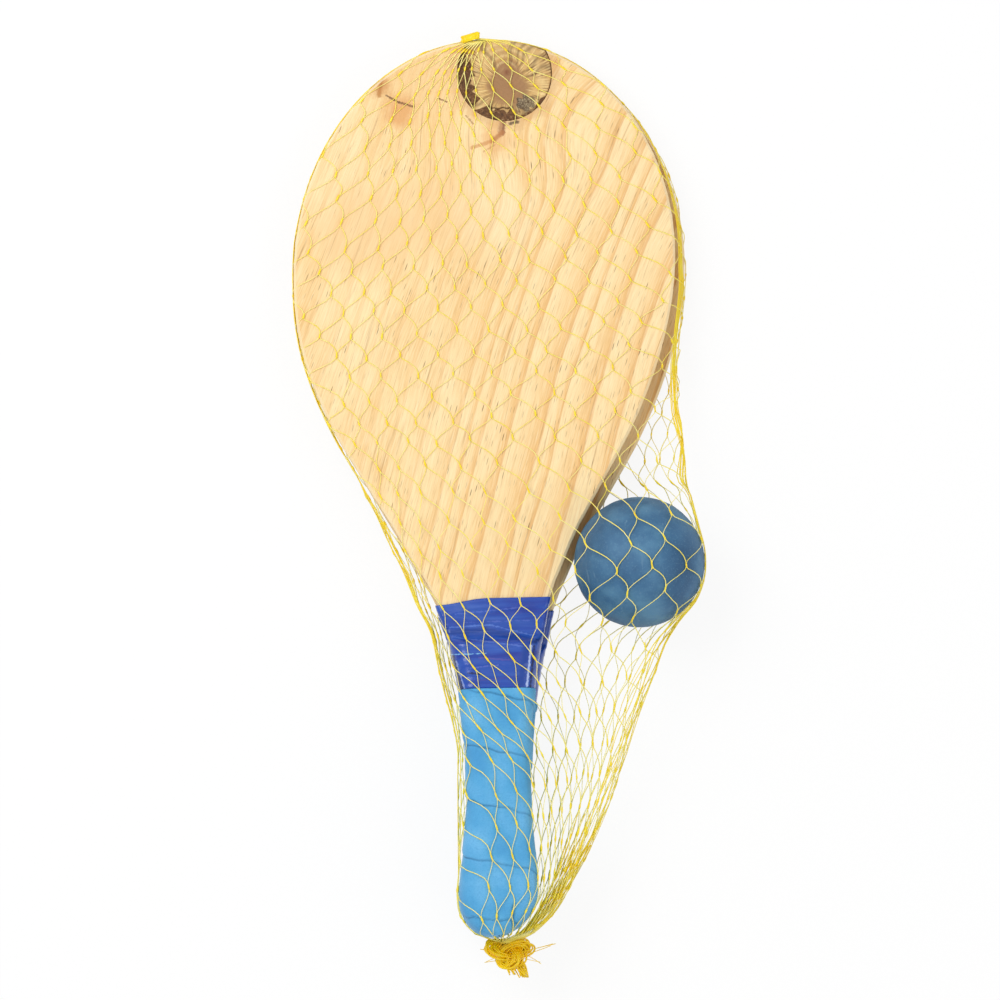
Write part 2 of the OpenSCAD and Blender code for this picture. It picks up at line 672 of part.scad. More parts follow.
module tail_solid() {
    loft([
        for (k = [len(tail_shares) - 1:-1:0])
            let (
                s = tail_shares[k][0],
                r = tie_w / 2 * tail_w_share * tail_shares[k][1],
                top = neck_y - collar - tie_l - wrap_fit * 2
            )
            lobed_ring(neck_x + tail_lean_share * tail_l * s, top - tail_l * s, neck_z, r, 1, 0, 5)
    ]);
}
seal_shares = [[0, 0.55], [0.2, 0.9], [0.5, 1], [0.8, 0.85], [1, 0.5]];
module seal_solid() {
    loft([
        for (r = seal_shares)
            lobed_ring(seal_x, seal_y + collar + wrap_fit + seal_l * r[0], seal_z, seal_w / 2 * r[1],
                seal_d / seal_w, 90, 2)
    ]);
}

// The origin is on the ground under the middle of the whole set
reach_x = [
    for (y = rows) each [for (p = section(y, room(y) + strand_t)) p.x]
];
middle_x = (max(reach_x) + min(reach_x)) / 2;
top_y = seal_y + collar + wrap_fit + seal_l;
bottom_y = neck_y - collar - tie_l - tail_l - wrap_fit * 2;
middle_y = (top_y + bottom_y) / 2;

module centred() {
    translate([-middle_x, -middle_y, 0]) children();
}

module front_board() {
    color("burlywood") centred() as_front() difference() {
        blank();
        knot_core(0);
    }
}
module front_board_knot() {
    color("saddlebrown") centred() as_front() intersection() {
        blank();
        knot_core(knot_fit);
    }
}
module front_scale_upper() {
    color("tan") centred() as_front() scale_solid();
}
module front_scale_lower() {
    color("tan") centred() as_front() mirror([0, 0, 1]) scale_solid();
}
module front_throat_tape() {
    color("royalblue") centred() as_front() tape_solid();
}
module front_grip() {
    color("deepskyblue") centred() as_front() grip_solid();
}
module rear_board() {
    color("burlywood") centred() as_rear() blank();
}
module rear_scale_upper() {
    color("tan") centred() as_rear() scale_solid();
}
module rear_scale_lower() {
    color("tan") centred() as_rear() mirror([0, 0, 1]) scale_solid();
}
module rear_throat_tape() {
    color("royalblue") centred() as_rear() tape_solid();
}
module rear_grip() {
    color("deepskyblue") centred() as_rear() grip_solid();
}
module ball() {
    color("steelblue") centred() translate([ball_x, ball_y, ball_z]) difference() {
        sphere(r = ball_r, $fn = 96);
        sphere(r = ball_r - ball_wall, $fn = 96);
    }
}
module net_bag() {
    color("gold") centred() net_tube();
}
module net_seal() {
    color("gold") centred() seal_solid();
}
module net_knot() {
    color("gold") centred() knot_solid();
}
module net_tail() {
    color("gold") centred() tail_solid();
}

front_board();
front_board_knot();
front_scale_upper();
front_scale_lower();
front_throat_tape();
front_grip();
rear_board();
rear_scale_upper();
rear_scale_lower();
rear_throat_tape();
rear_grip();
ball();
net_bag();
net_seal();
net_knot();
net_tail();
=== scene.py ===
"""Looks of the beach paddle ball set: two pine paddles, a rubber ball and the tied net tube round them."""

import json
import logging
import math
from dataclasses import dataclass
from enum import Enum
from typing import Any, ClassVar, Sequence

import bmesh
import bpy
import numpy as np
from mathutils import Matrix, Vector

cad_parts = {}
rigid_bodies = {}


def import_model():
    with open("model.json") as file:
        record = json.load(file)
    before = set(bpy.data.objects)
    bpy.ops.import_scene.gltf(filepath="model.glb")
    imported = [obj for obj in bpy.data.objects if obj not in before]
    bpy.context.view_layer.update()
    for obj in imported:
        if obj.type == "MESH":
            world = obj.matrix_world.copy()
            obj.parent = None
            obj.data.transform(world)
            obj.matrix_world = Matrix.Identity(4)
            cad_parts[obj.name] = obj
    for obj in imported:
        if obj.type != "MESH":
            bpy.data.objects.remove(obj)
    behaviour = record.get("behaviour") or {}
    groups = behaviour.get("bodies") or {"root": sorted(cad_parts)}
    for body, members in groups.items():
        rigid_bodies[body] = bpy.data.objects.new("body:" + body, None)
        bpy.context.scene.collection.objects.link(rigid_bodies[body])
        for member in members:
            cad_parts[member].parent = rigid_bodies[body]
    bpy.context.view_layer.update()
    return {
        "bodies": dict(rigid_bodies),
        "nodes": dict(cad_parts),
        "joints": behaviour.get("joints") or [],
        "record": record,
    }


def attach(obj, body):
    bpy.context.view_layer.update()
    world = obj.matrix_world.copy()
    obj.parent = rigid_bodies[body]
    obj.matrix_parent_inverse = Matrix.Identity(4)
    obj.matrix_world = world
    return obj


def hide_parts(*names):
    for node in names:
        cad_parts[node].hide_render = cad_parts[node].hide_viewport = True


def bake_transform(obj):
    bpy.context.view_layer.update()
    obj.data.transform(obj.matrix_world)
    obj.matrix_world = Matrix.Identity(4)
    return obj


Tree = bpy.types.NodeTree
Node = bpy.types.Node
Material = bpy.types.Material
Piece = bpy.types.Object

LOG = logging.getLogger("paddle_set")
MM = 0.001
TURN = 2 * math.pi
WHITE = (1.0, 1.0, 1.0, 1.0)
# Middle of the set seen from above, in the front paddle's own millimetres
MIDDLE_X = 4.679
MIDDLE_Y = 42.0
# Values that the dead knot's mesh carries for its finish
KNOT_MARKS = ("ring_share", "crack", "bark", "ray", "weather")


class Body(Enum):
    """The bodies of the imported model."""

    BAG = "bag"
    FRONT = "front_paddle"
    BALL = "ball"


class Slot(Enum):
    """The material slots of the record."""

    PINE = "pine"
    DEAD_KNOT = "dead_knot"
    VINYL = "vinyl_tape"
    FOAM = "foam_tape"
    RUBBER = "ball_rubber"
    STRAND = "net_strand"


def linear(hex_code: str) -> tuple[float, float, float, float]:
    """Turns an sRGB hex value into linear red, green, blue and alpha.

    Args:
        hex_code: Six hex digits.

    Returns:
        The linear colour with an alpha of 1.
    """
    parts = [int(hex_code[i:i + 2], 16) / 255 for i in (0, 2, 4)]
    return (*(p / 12.92 if p <= 0.04045 else ((p + 0.055) / 1.055) ** 2.4 for p in parts), 1.0)


def add(tree: Tree, kind: str, links: dict[Any, Any] | None = None, **settings: Any) -> Node:
    """Adds a node with its settings, socket values and links.

    Args:
        tree: The node tree.
        kind: The node's type name, without the word ShaderNode in front.
        links: Input name or index, and a value, the output socket that feeds it, or a node whose first
            output does.
        settings: Properties of the node; stops gives a colour ramp its places and hex colours.

    Returns:
        The new node.
    """
    made = tree.nodes.new("ShaderNode" + kind)
    for name, value in settings.items():
        if name == "stops":
            ramp = made.color_ramp
            while len(ramp.elements) < len(value):
                ramp.elements.new(0.5)
            for element, (place, code) in zip(ramp.elements, value):
                element.position = place
                element.color = linear(code)
        else:
            setattr(made, name, value)
    for key, value in (links or {}).items():
        if isinstance(value, Node):
            value = value.outputs[0]
        if isinstance(value, bpy.types.NodeSocket):
            tree.links.new(value, made.inputs[key])
        else:
            made.inputs[key].default_value = value
    return made


def tint(tree: Tree, colour: Any, value: Any, low: float, high: float, strength: float, tone: str) -> Node:
    """Blends a colour in where a value goes from low to high.

    Args:
        tree: The material's tree.
        colour: The colour so far.
        value: The node or socket that is read.
        low: The value where the blend starts.
        high: The value where it is full.
        strength: The new colour's share there.
        tone: The new colour.

    Returns:
        The blended colour.
    """
    mask = add(tree, "MapRange", {0: value, 1: low, 2: high, 3: 0.0, 4: strength})
    return add(tree, "MixRGB", {0: mask, 1: colour, 2: linear(tone)})


def draw_lines(tree: Tree, flat: Node, lines: Sequence[tuple], shake: Node, colour: Node) -> Node:
    """Draws straight marks on a surface, such as checks in wood, or painted shade and painted highlights along
    creases in tape.

    Args:
        tree: The material's tree.
        flat: The place in millimetres, seen from above.
        lines: Each mark's two ends, half width, strength and colour.
        shake: A small noise that makes the marks uneven.
        colour: The colour so far.

    Returns:
        The new colour.
    """
    for start, end, width, strength, tone in lines:
        run = (end[0] - start[0], end[1] - start[1], 0.0)
        length = run[0] ** 2 + run[1] ** 2
        offset = add(tree, "VectorMath", {0: flat, 1: (*start, 0.0)}, operation="SUBTRACT")
        dot = add(tree, "VectorMath", {0: offset, 1: run}, operation="DOT_PRODUCT")
        share = add(tree, "Math", {0: dot.outputs["Value"], 1: 1 / length}, operation="MULTIPLY", use_clamp=True)
        foot = add(tree, "VectorMath", {0: run, "Scale": share}, operation="SCALE")
        apart = add(tree, "VectorMath", {0: offset, 1: foot}, operation="DISTANCE")
        off = add(tree, "Math", {0: apart.outputs["Value"], 1: shake}, operation="ADD")
        colour = tint(tree, colour, off, width, width * 0.4, strength, tone)
    return colour


def smooth(t: Any) -> Any:
    """Gives a smooth step from 0 to 1."""
    t = np.clip(t, 0.0, 1.0)
    return t * t * (3 - 2 * t)


def window(t: Any, start: float, rise: float, end: float, fall: float) -> Any:
    """Gives 1 between start and end, rising after the start and falling after the end."""
    return smooth((t - start) / rise) * (1 - smooth((t - end) / fall))


def mix(a: Any, b: Any, t: Any) -> Any:
    """Gives the value a share t of the way from a to b."""
    return a + (b - a) * t


def unit(vectors: np.ndarray) -> np.ndarray:
    """Gives vectors a length of 1."""
    return vectors / (np.linalg.norm(vectors, axis=-1, keepdims=True) + 1e-9)


def xyz(x: Any, y: Any, z: Any) -> np.ndarray:
    """Makes points from their coordinates, each an array or one value for all."""
    return np.stack(np.broadcast_arrays(x, y, z), -1).astype(float)


def turns(count: int) -> np.ndarray:
    """Gives equal steps of angle round a circle."""
    return np.arange(count) * TURN / count


def level(table: Sequence[tuple], y: Any, k: int = 1) -> Any:
    """Reads value k of a table, straight between its rows."""
    return np.interp(y, [row[0] for row in table], [row[k] for row in table])


def spline(table: Sequence[tuple[float, float]], y: float) -> float:
    """Reads a smooth curve through a table of places and values.

    Args:
        table: Rows of place and value, in rising order of place.
        y: The place to read.

    Returns:
        The value there.
    """
    last = len(table) - 1
    i = max([k for k in range(last) if table[k][0] <= y], default=0)

    def slope(k: int) -> float:
        """Gives the curve's slope at row k."""
        low, high = table[max(k - 1, 0)], table[min(k + 1, last)]
        return (high[1] - low[1]) / (high[0] - low[0])

    gap = table[i + 1][0] - table[i][0]
    u = min(1.0, max(0.0, (y - table[i][0]) / gap))
    rise = slope(i) * gap
    run = 0.0 if i + 1 == last else slope(i + 1) * gap
    near = (1 + 2 * u) * (1 - u) ** 2 * table[i][1] + u * (1 - u) ** 2 * rise
    return near + u * u * (3 - 2 * u) * table[i + 1][1] + u * u * (u - 1) * run


def wobble(points: np.ndarray, scale: float, seed: int) -> np.ndarray:
    """Gives smooth noise from a fixed set of waves.

    Args:
        points: Places, one per row, in millimetres.
        scale: The size of a wave in millimetres.
        seed: Picks the set of waves.

    Returns:
        A value for each place, mostly from -1 to 1.
    """
    rng = np.random.default_rng(seed)
    waves = rng.normal(size=(7, points.shape[1])) * TURN / scale
    phases = rng.uniform(0, TURN, 7)
    return np.sin(points @ waves.T + phases).sum(1) / 3.2


def run_of(line: np.ndarray) -> np.ndarray:
    """Gives the length of a line up to each of its corners."""
    return np.concatenate([[0.0], np.cumsum(np.linalg.norm(np.diff(line, axis=0), axis=1))])


def along(line: np.ndarray, shares: np.ndarray) -> np.ndarray:
    """Gives points at shares of a flat line's length.

    Args:
        line: The line's corners.
        shares: Shares from 0 to 1.

    Returns:
        One point for each share.
    """
    run = run_of(line)
    at = shares * run[-1]
    return np.stack([np.interp(at, run, line[:, 0]), np.interp(at, run, line[:, 1])], 1)


def hull(points: np.ndarray) -> np.ndarray:
    """Gives the convex outline of points in a plane.

    Args:
        points: The points, one per row.

    Returns:
        Its corners, counter-clockwise.
    """
    ordered = sorted(set(map(tuple, np.round(points, 4))))

    def half(row: list[tuple[float, float]]) -> list[tuple[float, float]]:
        """Walks one side of the outline."""
        kept: list[tuple[float, float]] = []
        for p in row:
            while len(kept) > 1:
                (ax, ay), (bx, by) = kept[-2], kept[-1]
                if (bx - ax) * (p[1] - ay) - (by - ay) * (p[0] - ax) > 0:
                    break
                kept.pop()
            kept.append(p)
        return kept[:-1]

    return np.array(half(ordered) + half(ordered[::-1]))


def grid_faces(rings: int, count: int, first: int = 0, flip: bool = False) -> list[tuple[int, ...]]:
    """Lists the quads between rings of points.

    Args:
        rings: How many rings there are.
        count: How many points a ring has.
        first: The index of the first point.
        flip: Whether the quads face the other way.

    Returns:
        Quads that join each ring to the next.
    """
    faces = []
    for k in range(rings - 1):
        for i in range(count):
            a = first + k * count + i
            b = first + k * count + (i + 1) % count
            quad = (a + count, b + count, b, a)
            faces.append(quad[::-1] if flip else quad)
    return faces


def tube_faces(rings: int, count: int, first: int = 0) -> list[tuple[int, ...]]:
    """Lists the faces of a tube that is closed at both ends.

    Args:
        rings: How many rings there are.
        count: How many points a ring has.
        first: The index of the first point.

    Returns:
        The quads between its rings and the two ends.
    """
    last = first + (rings - 1) * count
    ends = [tuple(range(first, first + count)), tuple(range(last, last + count))[::-1]]
    return grid_faces(rings, count, first) + ends


def swept(paths: np.ndarray, outward: np.ndarray, radii: np.ndarray, sides: int) -> tuple[np.ndarray, list]:
    """Sweeps tubes along many paths of equal length.

    Args:
        paths: Points of each path, in an array of paths, points and coordinates.
        outward: A direction beside the path, one for each point or one for all.
        radii: The tube's radius at each point.
        sides: How many sides a tube has.

    Returns:
        The points and faces of all the tubes, closed at their ends.
    """
    count, steps = paths.shape[:2]
    ahead = unit(np.gradient(paths, axis=1))
    side = unit(np.cross(ahead, outward))
    up = np.cross(side, ahead)
    angle = turns(sides)[:, None]
    ring = np.cos(angle) * side[:, :, None, :] + np.sin(angle) * up[:, :, None, :]
    points = (paths[:, :, None, :] + ring * radii[:, :, None, None]).reshape(-1, 3)
    return points, [face for n in range(count) for face in tube_faces(steps, sides, n * steps * sides)]


def mesh_piece(name: str, points: np.ndarray, faces: Sequence[Sequence[int]], material: Material,
               is_smooth: bool = True) -> Piece:
    """Makes an object from points in millimetres.

    Args:
        name: The piece's name.
        points: Its points in the row frame, in millimetres.
        faces: Its faces.
        material: Its material.
        is_smooth: Whether its faces are shaded smooth.

    Returns:
        The new object.
    """
    mesh = bpy.data.meshes.new(name)
    mesh.from_pydata((np.asarray(points, float) * MM).tolist(), [], [list(f) for f in faces])
    mesh.validate()
    mesh.polygons.foreach_set("use_smooth", [is_smooth] * len(mesh.polygons))
    mesh.materials.append(material)
    piece = bpy.data.objects.new(name, mesh)
    bpy.context.scene.collection.objects.link(piece)
    return piece


def assign(piece: Piece, node: str = "", body: Body | None = None) -> None:
    """Args:
        piece: The piece.
        node: The solid that it replaces, if there is one.
        body: The body that it rides, if it rides one.
    """
    if body:
        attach(piece, body.value)
    if node:
        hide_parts(node)
    LOG.info("built %s", piece.name)


def mark(piece: Piece, name: str, values: np.ndarray) -> None:
    """Writes a value at each point of a piece, which its finish reads."""
    layer = piece.data.attributes.new(name, "FLOAT", "POINT")
    layer.data.foreach_set("value", values.astype(np.float32))


def merge_points(piece: Piece, gap_mm: float) -> None:
    """Joins the points of a piece that lie together.

    Args:
        piece: The piece.
        gap_mm: How far apart joined points may lie, in millimetres.
    """
    mesh = bmesh.new()
    mesh.from_mesh(piece.data)
    bmesh.ops.remove_doubles(mesh, verts=mesh.verts, dist=gap_mm * MM)
    bmesh.ops.recalc_face_normals(mesh, faces=mesh.faces)
    mesh.to_mesh(piece.data)
    mesh.free()


@dataclass(frozen=True)
class Finish:
    """What the finishes share: a Principled shader with a gloss of its own and, mostly, a fine relief."""

    name: str
    gloss: ClassVar[dict[str, float]] = {}
    # Strength of the relief, and its depth in metres
    relief: ClassVar[tuple[float, float]] = (0.0, 0.0)

    def build(self) -> Material:
        """Builds the finish.

        Returns:
            The material.
        """
        material = bpy.data.materials.new(self.name)
        material.use_nodes = True
        tree = material.node_tree
        tree.nodes.clear()
        colour, height = self.paint(tree, add(tree, "TexCoord"))
        shader = add(tree, "BsdfPrincipled", {"Base Color": colour, **self.gloss})
        if height:
            strength, depth = self.relief
            bump = add(tree, "Bump", {"Strength": strength, "Distance": depth, "Height": height})
            tree.links.new(bump.outputs[0], shader.inputs["Normal"])
        add(tree, "OutputMaterial", {"Surface": self.light(tree, shader)})
        return material

    def paint(self, tree: Tree, coords: Node) -> tuple[Node, Node | None]:
        """Paints the surface.

        Args:
            tree: The material's tree.
            coords: The texture coordinates.

        Returns:
            The colour, and the height of the relief if there is one.
        """
        raise NotImplementedError

    def light(self, tree: Tree, shader: Node) -> Node:
        """Gives the shader that the surface ends in."""
        return shader


@dataclass
class Wood:
    """Where a pine pattern is drawn.

    Attributes:
        tree: The material's tree.
        place: The place in millimetres.
        flat: The same seen from above.
        x: Its part to the right.
        y: Its part toward the tip.
        z: Its part upward.
        grain: The distance across the grain.
    """

    tree: Tree
    place: Node
    flat: Node
    x: bpy.types.NodeSocket
    y: bpy.types.NodeSocket
    z: bpy.types.NodeSocket
    grain: Node | None = None


@dataclass(frozen=True)
class PineFinish(Finish):
    """Radiata pine, cut tangent to its rings and sanded, with no varnish.

    Broad soft growth bands, fine fibres and short dark resin ducts give a pale, dry board.
    """

    gloss: ClassVar[dict[str, float]] = {"Roughness": 0.62, "IOR": 1.48}
    relief: ClassVar[tuple[float, float]] = (0.25, 0.00025)
    early: str = "fbdfa9"
    mid: str = "f8d499"
    late: str = "efc07c"
    fibre: str = "d3a469"
    resin: str = "75522f"
    # Painted highlight on the eased edges
    highlight_tone: str = "ffe8ba"
    year_mm: float = 10.5
    fibre_mm: float = 0.5
    duct_mm: float = 2.1
    knot_at: tuple[float, float, float] = (10.5, 229.5, 0.0)
    parting_mm: float = 16.0
    offset: tuple[float, float, float] = (MIDDLE_X, MIDDLE_Y, 0.0)
    turn: float = 0.0
    knotty: bool = True
    # Soft stains: middle, reach, soft edge, strength and colour
    stains: tuple = (
        ((10.5, 229.5), 22.5, 3.5, 0.5, "cf9a5e"),
        ((-24.0, 234.0), 17.0, 10.0, 0.35, "f1ca92"),
        ((-35.5, 213.5), 3.5, 5.5, 0.8, "e2a565"),
        ((-43.6, 224.5), 2.4, 3.6, 0.7, "cf9152"),
        ((-52.0, 162.0), 13.0, 14.0, 0.5, "f0c68c"),
        ((-22.0, 168.0), 9.0, 16.0, 0.45, "f2ca92"),
        ((4.0, 168.0), 10.0, 14.0, 0.25, "ffedc6"),
        ((6.5, 200.0), 4.0, 5.0, 0.6, "e7b070"),
    )
    # Dark checks and bark lines: two ends, width, strength and colour
    checks: tuple = (
        ((-41.2, 220.6), (-35.8, 217.6), 0.55, 0.85, "6b4526"),
        ((-35.8, 217.6), (-29.2, 215.4), 0.6, 0.85, "7a5230"),
        ((-18.2, 218.7), (-14.8, 217.3), 0.4, 0.8, "7a5230"),
        ((-42.6, 229.5), (-44.3, 220.5), 1.3, 0.75, "b8762f"),
        ((9.4, 210.0), (8.6, 203.4), 2.0, 0.85, "b58256"),
        ((9.8, 210.0), (9.4, 203.0), 0.9, 0.8, "8a5c3f"),
        ((9.0, 203.4), (4.6, 199.8), 1.4, 0.8, "b87843"),
        ((4.6, 199.8), (-4.2, 197.2), 1.1, 0.7, "cf8f52"),
        ((5.6, 197.9), (0.9, 195.4), 0.6, 0.5, "bd8149"),
        ((-6.7, 211.0), (-3.4, 207.4), 0.5, 0.6, "97683c"),
        ((12.6, 207.2), (15.6, 208.0), 1.0, 0.8, "3f2c20"),
    )

    def paint(self, tree: Tree, coords: Node) -> tuple[Node, Node | None]:
        """Paints the pine.

        Args:
            tree: The material's tree.
            coords: The texture coordinates.

        Returns:
            The colour, and the height of the fibres.
        """
        scaled = add(tree, "VectorMath", {0: coords.outputs["Object"], 1: (1 / MM, 1 / MM, 1 / MM)},
                     operation="MULTIPLY")
        moved = add(tree, "VectorMath", {0: scaled, 1: self.offset}, operation="ADD")
        place = add(tree, "VectorRotate", {"Vector": moved, "Angle": self.turn}, rotation_type="Z_AXIS")
        split = add(tree, "SeparateXYZ", {0: place})
        flat = add(tree, "CombineXYZ", {0: split.outputs[0], 1: split.outputs[1]})
        wood = Wood(tree, place, flat, *split.outputs)
        wood.grain = self.lean(wood)
        streak, colour = self.fibres(wood, self.bands(wood))
        colour = self.ducts(wood, colour)
        if self.knotty:
            colour = self.stain(wood, colour)
        return self.paint_bevel_highlight(wood, coords, colour), streak

    def lean(self, wood: Wood) -> Node:
        """Measures across the grain, which leans right toward the tip and parts round the dead knot.

        Args:
            wood: Where the pattern is drawn.

        Returns:
            The distance across the grain.
        """
        tree = wood.tree
        slope = add(tree, "Math", {0: wood.y, 1: 0.0005, 2: 0.2}, operation="MULTIPLY_ADD")
        shift = add(tree, "Math", {0: wood.y, 1: slope}, operation="MULTIPLY")
        across = add(tree, "Math", {0: wood.x, 1: shift}, operation="SUBTRACT")
        wave_at = add(tree, "VectorMath", {0: wood.place, 1: (0.016, 0.006, 0.012)}, operation="MULTIPLY")
        wave = add(tree, "TexNoise", {"Vector": wave_at, "Scale": 1.0, "Detail": 2.0, "Roughness": 0.45})
        swell = add(tree, "Math", {0: wave, 1: 13.0, 2: across}, operation="MULTIPLY_ADD")
        apart = add(tree, "VectorMath", {0: wood.flat, 1: self.knot_at}, operation="DISTANCE")
        aside = self.parting_mm if self.knotty else 0.0
        parting = add(tree, "MapRange", {0: apart.outputs["Value"], 1: 20.0, 2: 62.0, 3: aside, 4: 0.0},
                      interpolation_type="SMOOTHSTEP")
        depth = add(tree, "Math", {0: wood.z, 1: 0.6, 2: parting}, operation="MULTIPLY_ADD")
        return add(tree, "Math", {0: swell, 1: depth}, operation="ADD")

    def bands(self, wood: Wood) -> Node:
        """Colours each year's ring, which darkens slowly and ends sharply; the years differ in width.

        Args:
            wood: Where the pattern is drawn.

        Returns:
            The colour.
        """
        tree = wood.tree
        slow = add(tree, "Math", {0: wood.grain, 1: self.year_mm * 2.6}, operation="DIVIDE")
        uneven = add(tree, "TexNoise", {"W": slow, "Scale": 1.0, "Detail": 1.0}, noise_dimensions="1D")
        years = add(tree, "Math", {0: wood.grain, 1: self.year_mm}, operation="DIVIDE")
        spread = add(tree, "Math", {0: uneven, 1: 2.2, 2: years}, operation="MULTIPLY_ADD")
        season = add(tree, "Math", {0: spread}, operation="FRACT")
        band = add(tree, "ValToRGB", {0: season}, stops=[
            (0.0, self.early), (0.3, self.early), (0.58, self.mid), (0.82, self.late), (0.9, "e8b677"),
            (0.96, self.early)])
        cloud_at = add(tree, "VectorMath", {0: wood.place, 1: (0.034, 0.011, 0.03)}, operation="MULTIPLY")
        cloud = add(tree, "TexNoise", {"Vector": cloud_at, "Scale": 1.0, "Detail": 3.0})
        ground = tint(tree, linear(self.early), cloud, 0.42, 0.62, 1.0, "f3cc8d")
        # The rings show best on the right half, where the saw met them square
        side = add(tree, "MapRange", {0: wood.grain, 1: -30.0, 2: 15.0, 3: 0.3, 4: 0.95})
        return add(tree, "MixRGB", {0: side, 1: ground, 2: band})

    def fibres(self, wood: Wood, colour: Node) -> tuple[Node, Node]:
        """Draws the fine fibres and a few long dark threads along the grain.

        Args:
            wood: Where the pattern is drawn.
            colour: The colour so far.

        Returns:
            The fibres' height, and the new colour.
        """
        tree = wood.tree
        thick = add(tree, "Math", {0: wood.grain, 1: self.fibre_mm}, operation="DIVIDE")
        long = add(tree, "Math", {0: wood.y, 1: self.fibre_mm * 30}, operation="DIVIDE")
        deep = add(tree, "Math", {0: wood.z, 1: self.fibre_mm * 2}, operation="DIVIDE")
        at = add(tree, "CombineXYZ", {0: thick, 1: long, 2: deep})
        streak = add(tree, "TexNoise", {"Vector": at, "Scale": 1.0, "Detail": 4.0, "Roughness": 0.6})
        colour = tint(tree, colour, streak, 0.5, 0.3, 0.45, "ffeec6")
        colour = tint(tree, colour, streak, 0.5, 0.78, 0.5, self.fibre)
        wide = add(tree, "Math", {0: wood.grain, 1: self.fibre_mm * 2.4}, operation="DIVIDE")
        longer = add(tree, "Math", {0: wood.y, 1: self.fibre_mm * 90}, operation="DIVIDE")
        thread_at = add(tree, "CombineXYZ", {0: wide, 1: longer, 2: 3.0})
        thread = add(tree, "TexNoise", {"Vector": thread_at, "Scale": 1.0, "Detail": 2.0})
        return streak, tint(tree, colour, thread, 0.62, 0.72, 0.5, "b88a55")

    def ducts(self, wood: Wood, colour: Node) -> Node:
        """Draws the resin ducts: short thin dashes along the grain, in two sizes.

        Args:
            wood: Where the pattern is drawn.
            colour: The colour so far.

        Returns:
            The new colour.
        """
        tree = wood.tree
        patch = add(tree, "TexNoise", {"Vector": wood.place, "Scale": 0.045, "Detail": 2.0})
        for size, reach, low, high, shade in ((self.duct_mm, 0.105, 0.05, 0.95, self.resin),
                                              (self.duct_mm * 0.7, 0.13, 0.2, 0.6, "99744a")):
            wide = add(tree, "Math", {0: wood.grain, 1: size}, operation="DIVIDE")
            long = add(tree, "Math", {0: wood.y, 1: size * 9.5}, operation="DIVIDE")
            at = add(tree, "CombineXYZ", {0: wide, 1: long})
            duct = add(tree, "TexVoronoi", {"Vector": at, "Scale": 1.0}, voronoi_dimensions="2D")
            pick = add(tree, "SeparateXYZ", {0: duct.outputs["Color"]})
            some = add(tree, "MapRange", {0: pick, 1: 0.3, 2: 0.8})
            dash = add(tree, "MapRange", {0: duct.outputs["Distance"], 1: reach, 2: reach * 0.5})
            thick = add(tree, "MapRange", {0: patch, 1: 0.4, 2: 0.62, 3: low, 4: high})
            drawn = add(tree, "Math", {0: dash, 1: thick}, operation="MULTIPLY")
            kept = add(tree, "Math", {0: drawn, 1: some}, operation="MULTIPLY")
            colour = add(tree, "MixRGB", {0: kept, 1: colour, 2: linear(shade)})
        return colour

    def stain(self, wood: Wood, colour: Node) -> Node:
        """Stains the wood round the knots, and draws the knots' tails and checks.

        Args:
            wood: Where the pattern is drawn.
            colour: The colour so far.

        Returns:
            The new colour.
        """
        tree = wood.tree
        torn = add(tree, "TexNoise", {"Vector": wood.place, "Scale": 0.16, "Detail": 4.0, "Roughness": 0.65})
        shaken = add(tree, "Math", {0: torn, 1: 9.0, 2: -4.5}, operation="MULTIPLY_ADD")
        for middle, reach, soft, strength, tone in self.stains:
            apart = add(tree, "VectorMath", {0: wood.flat, 1: (*middle, 0.0)}, operation="DISTANCE")
            off = add(tree, "Math", {0: apart.outputs["Value"], 1: shaken}, operation="ADD")
            colour = tint(tree, colour, off, reach + soft, reach, strength, tone)
        ragged = add(tree, "TexNoise", {"Vector": wood.place, "Scale": 0.8, "Detail": 3.0, "Roughness": 0.7})
        jitter = add(tree, "Math", {0: ragged, 1: 2.0, 2: -1.0}, operation="MULTIPLY_ADD")
        return draw_lines(tree, wood.flat, self.checks, jitter, colour)

    def paint_bevel_highlight(self, wood: Wood, coords: Node, colour: Node) -> Node:
        """Paints a pale highlight on the eased edges, where the faces lean between the top and the sides.

        Args:
            wood: Where the pattern is drawn.
            coords: The texture coordinates.
            colour: The colour so far.

        Returns:
            The new colour.
        """
        tree = wood.tree
        # Painted highlight: pale colour where a face leans between the top and the sides
        facing = add(tree, "SeparateXYZ", {0: coords.outputs["Normal"]})
        upright = add(tree, "Math", {0: facing.outputs[2]}, operation="ABSOLUTE")
        leaning = add(tree, "MapRange", {0: upright, 1: 0.98, 2: 0.9})
        not_side = add(tree, "MapRange", {0: upright, 1: 0.25, 2: 0.5, 3: 0.0, 4: 0.6})
        highlight_share = add(tree, "Math", {0: leaning, 1: not_side}, operation="MULTIPLY")
        return add(tree, "MixRGB", {0: highlight_share, 1: colour, 2: linear(self.highlight_tone)})


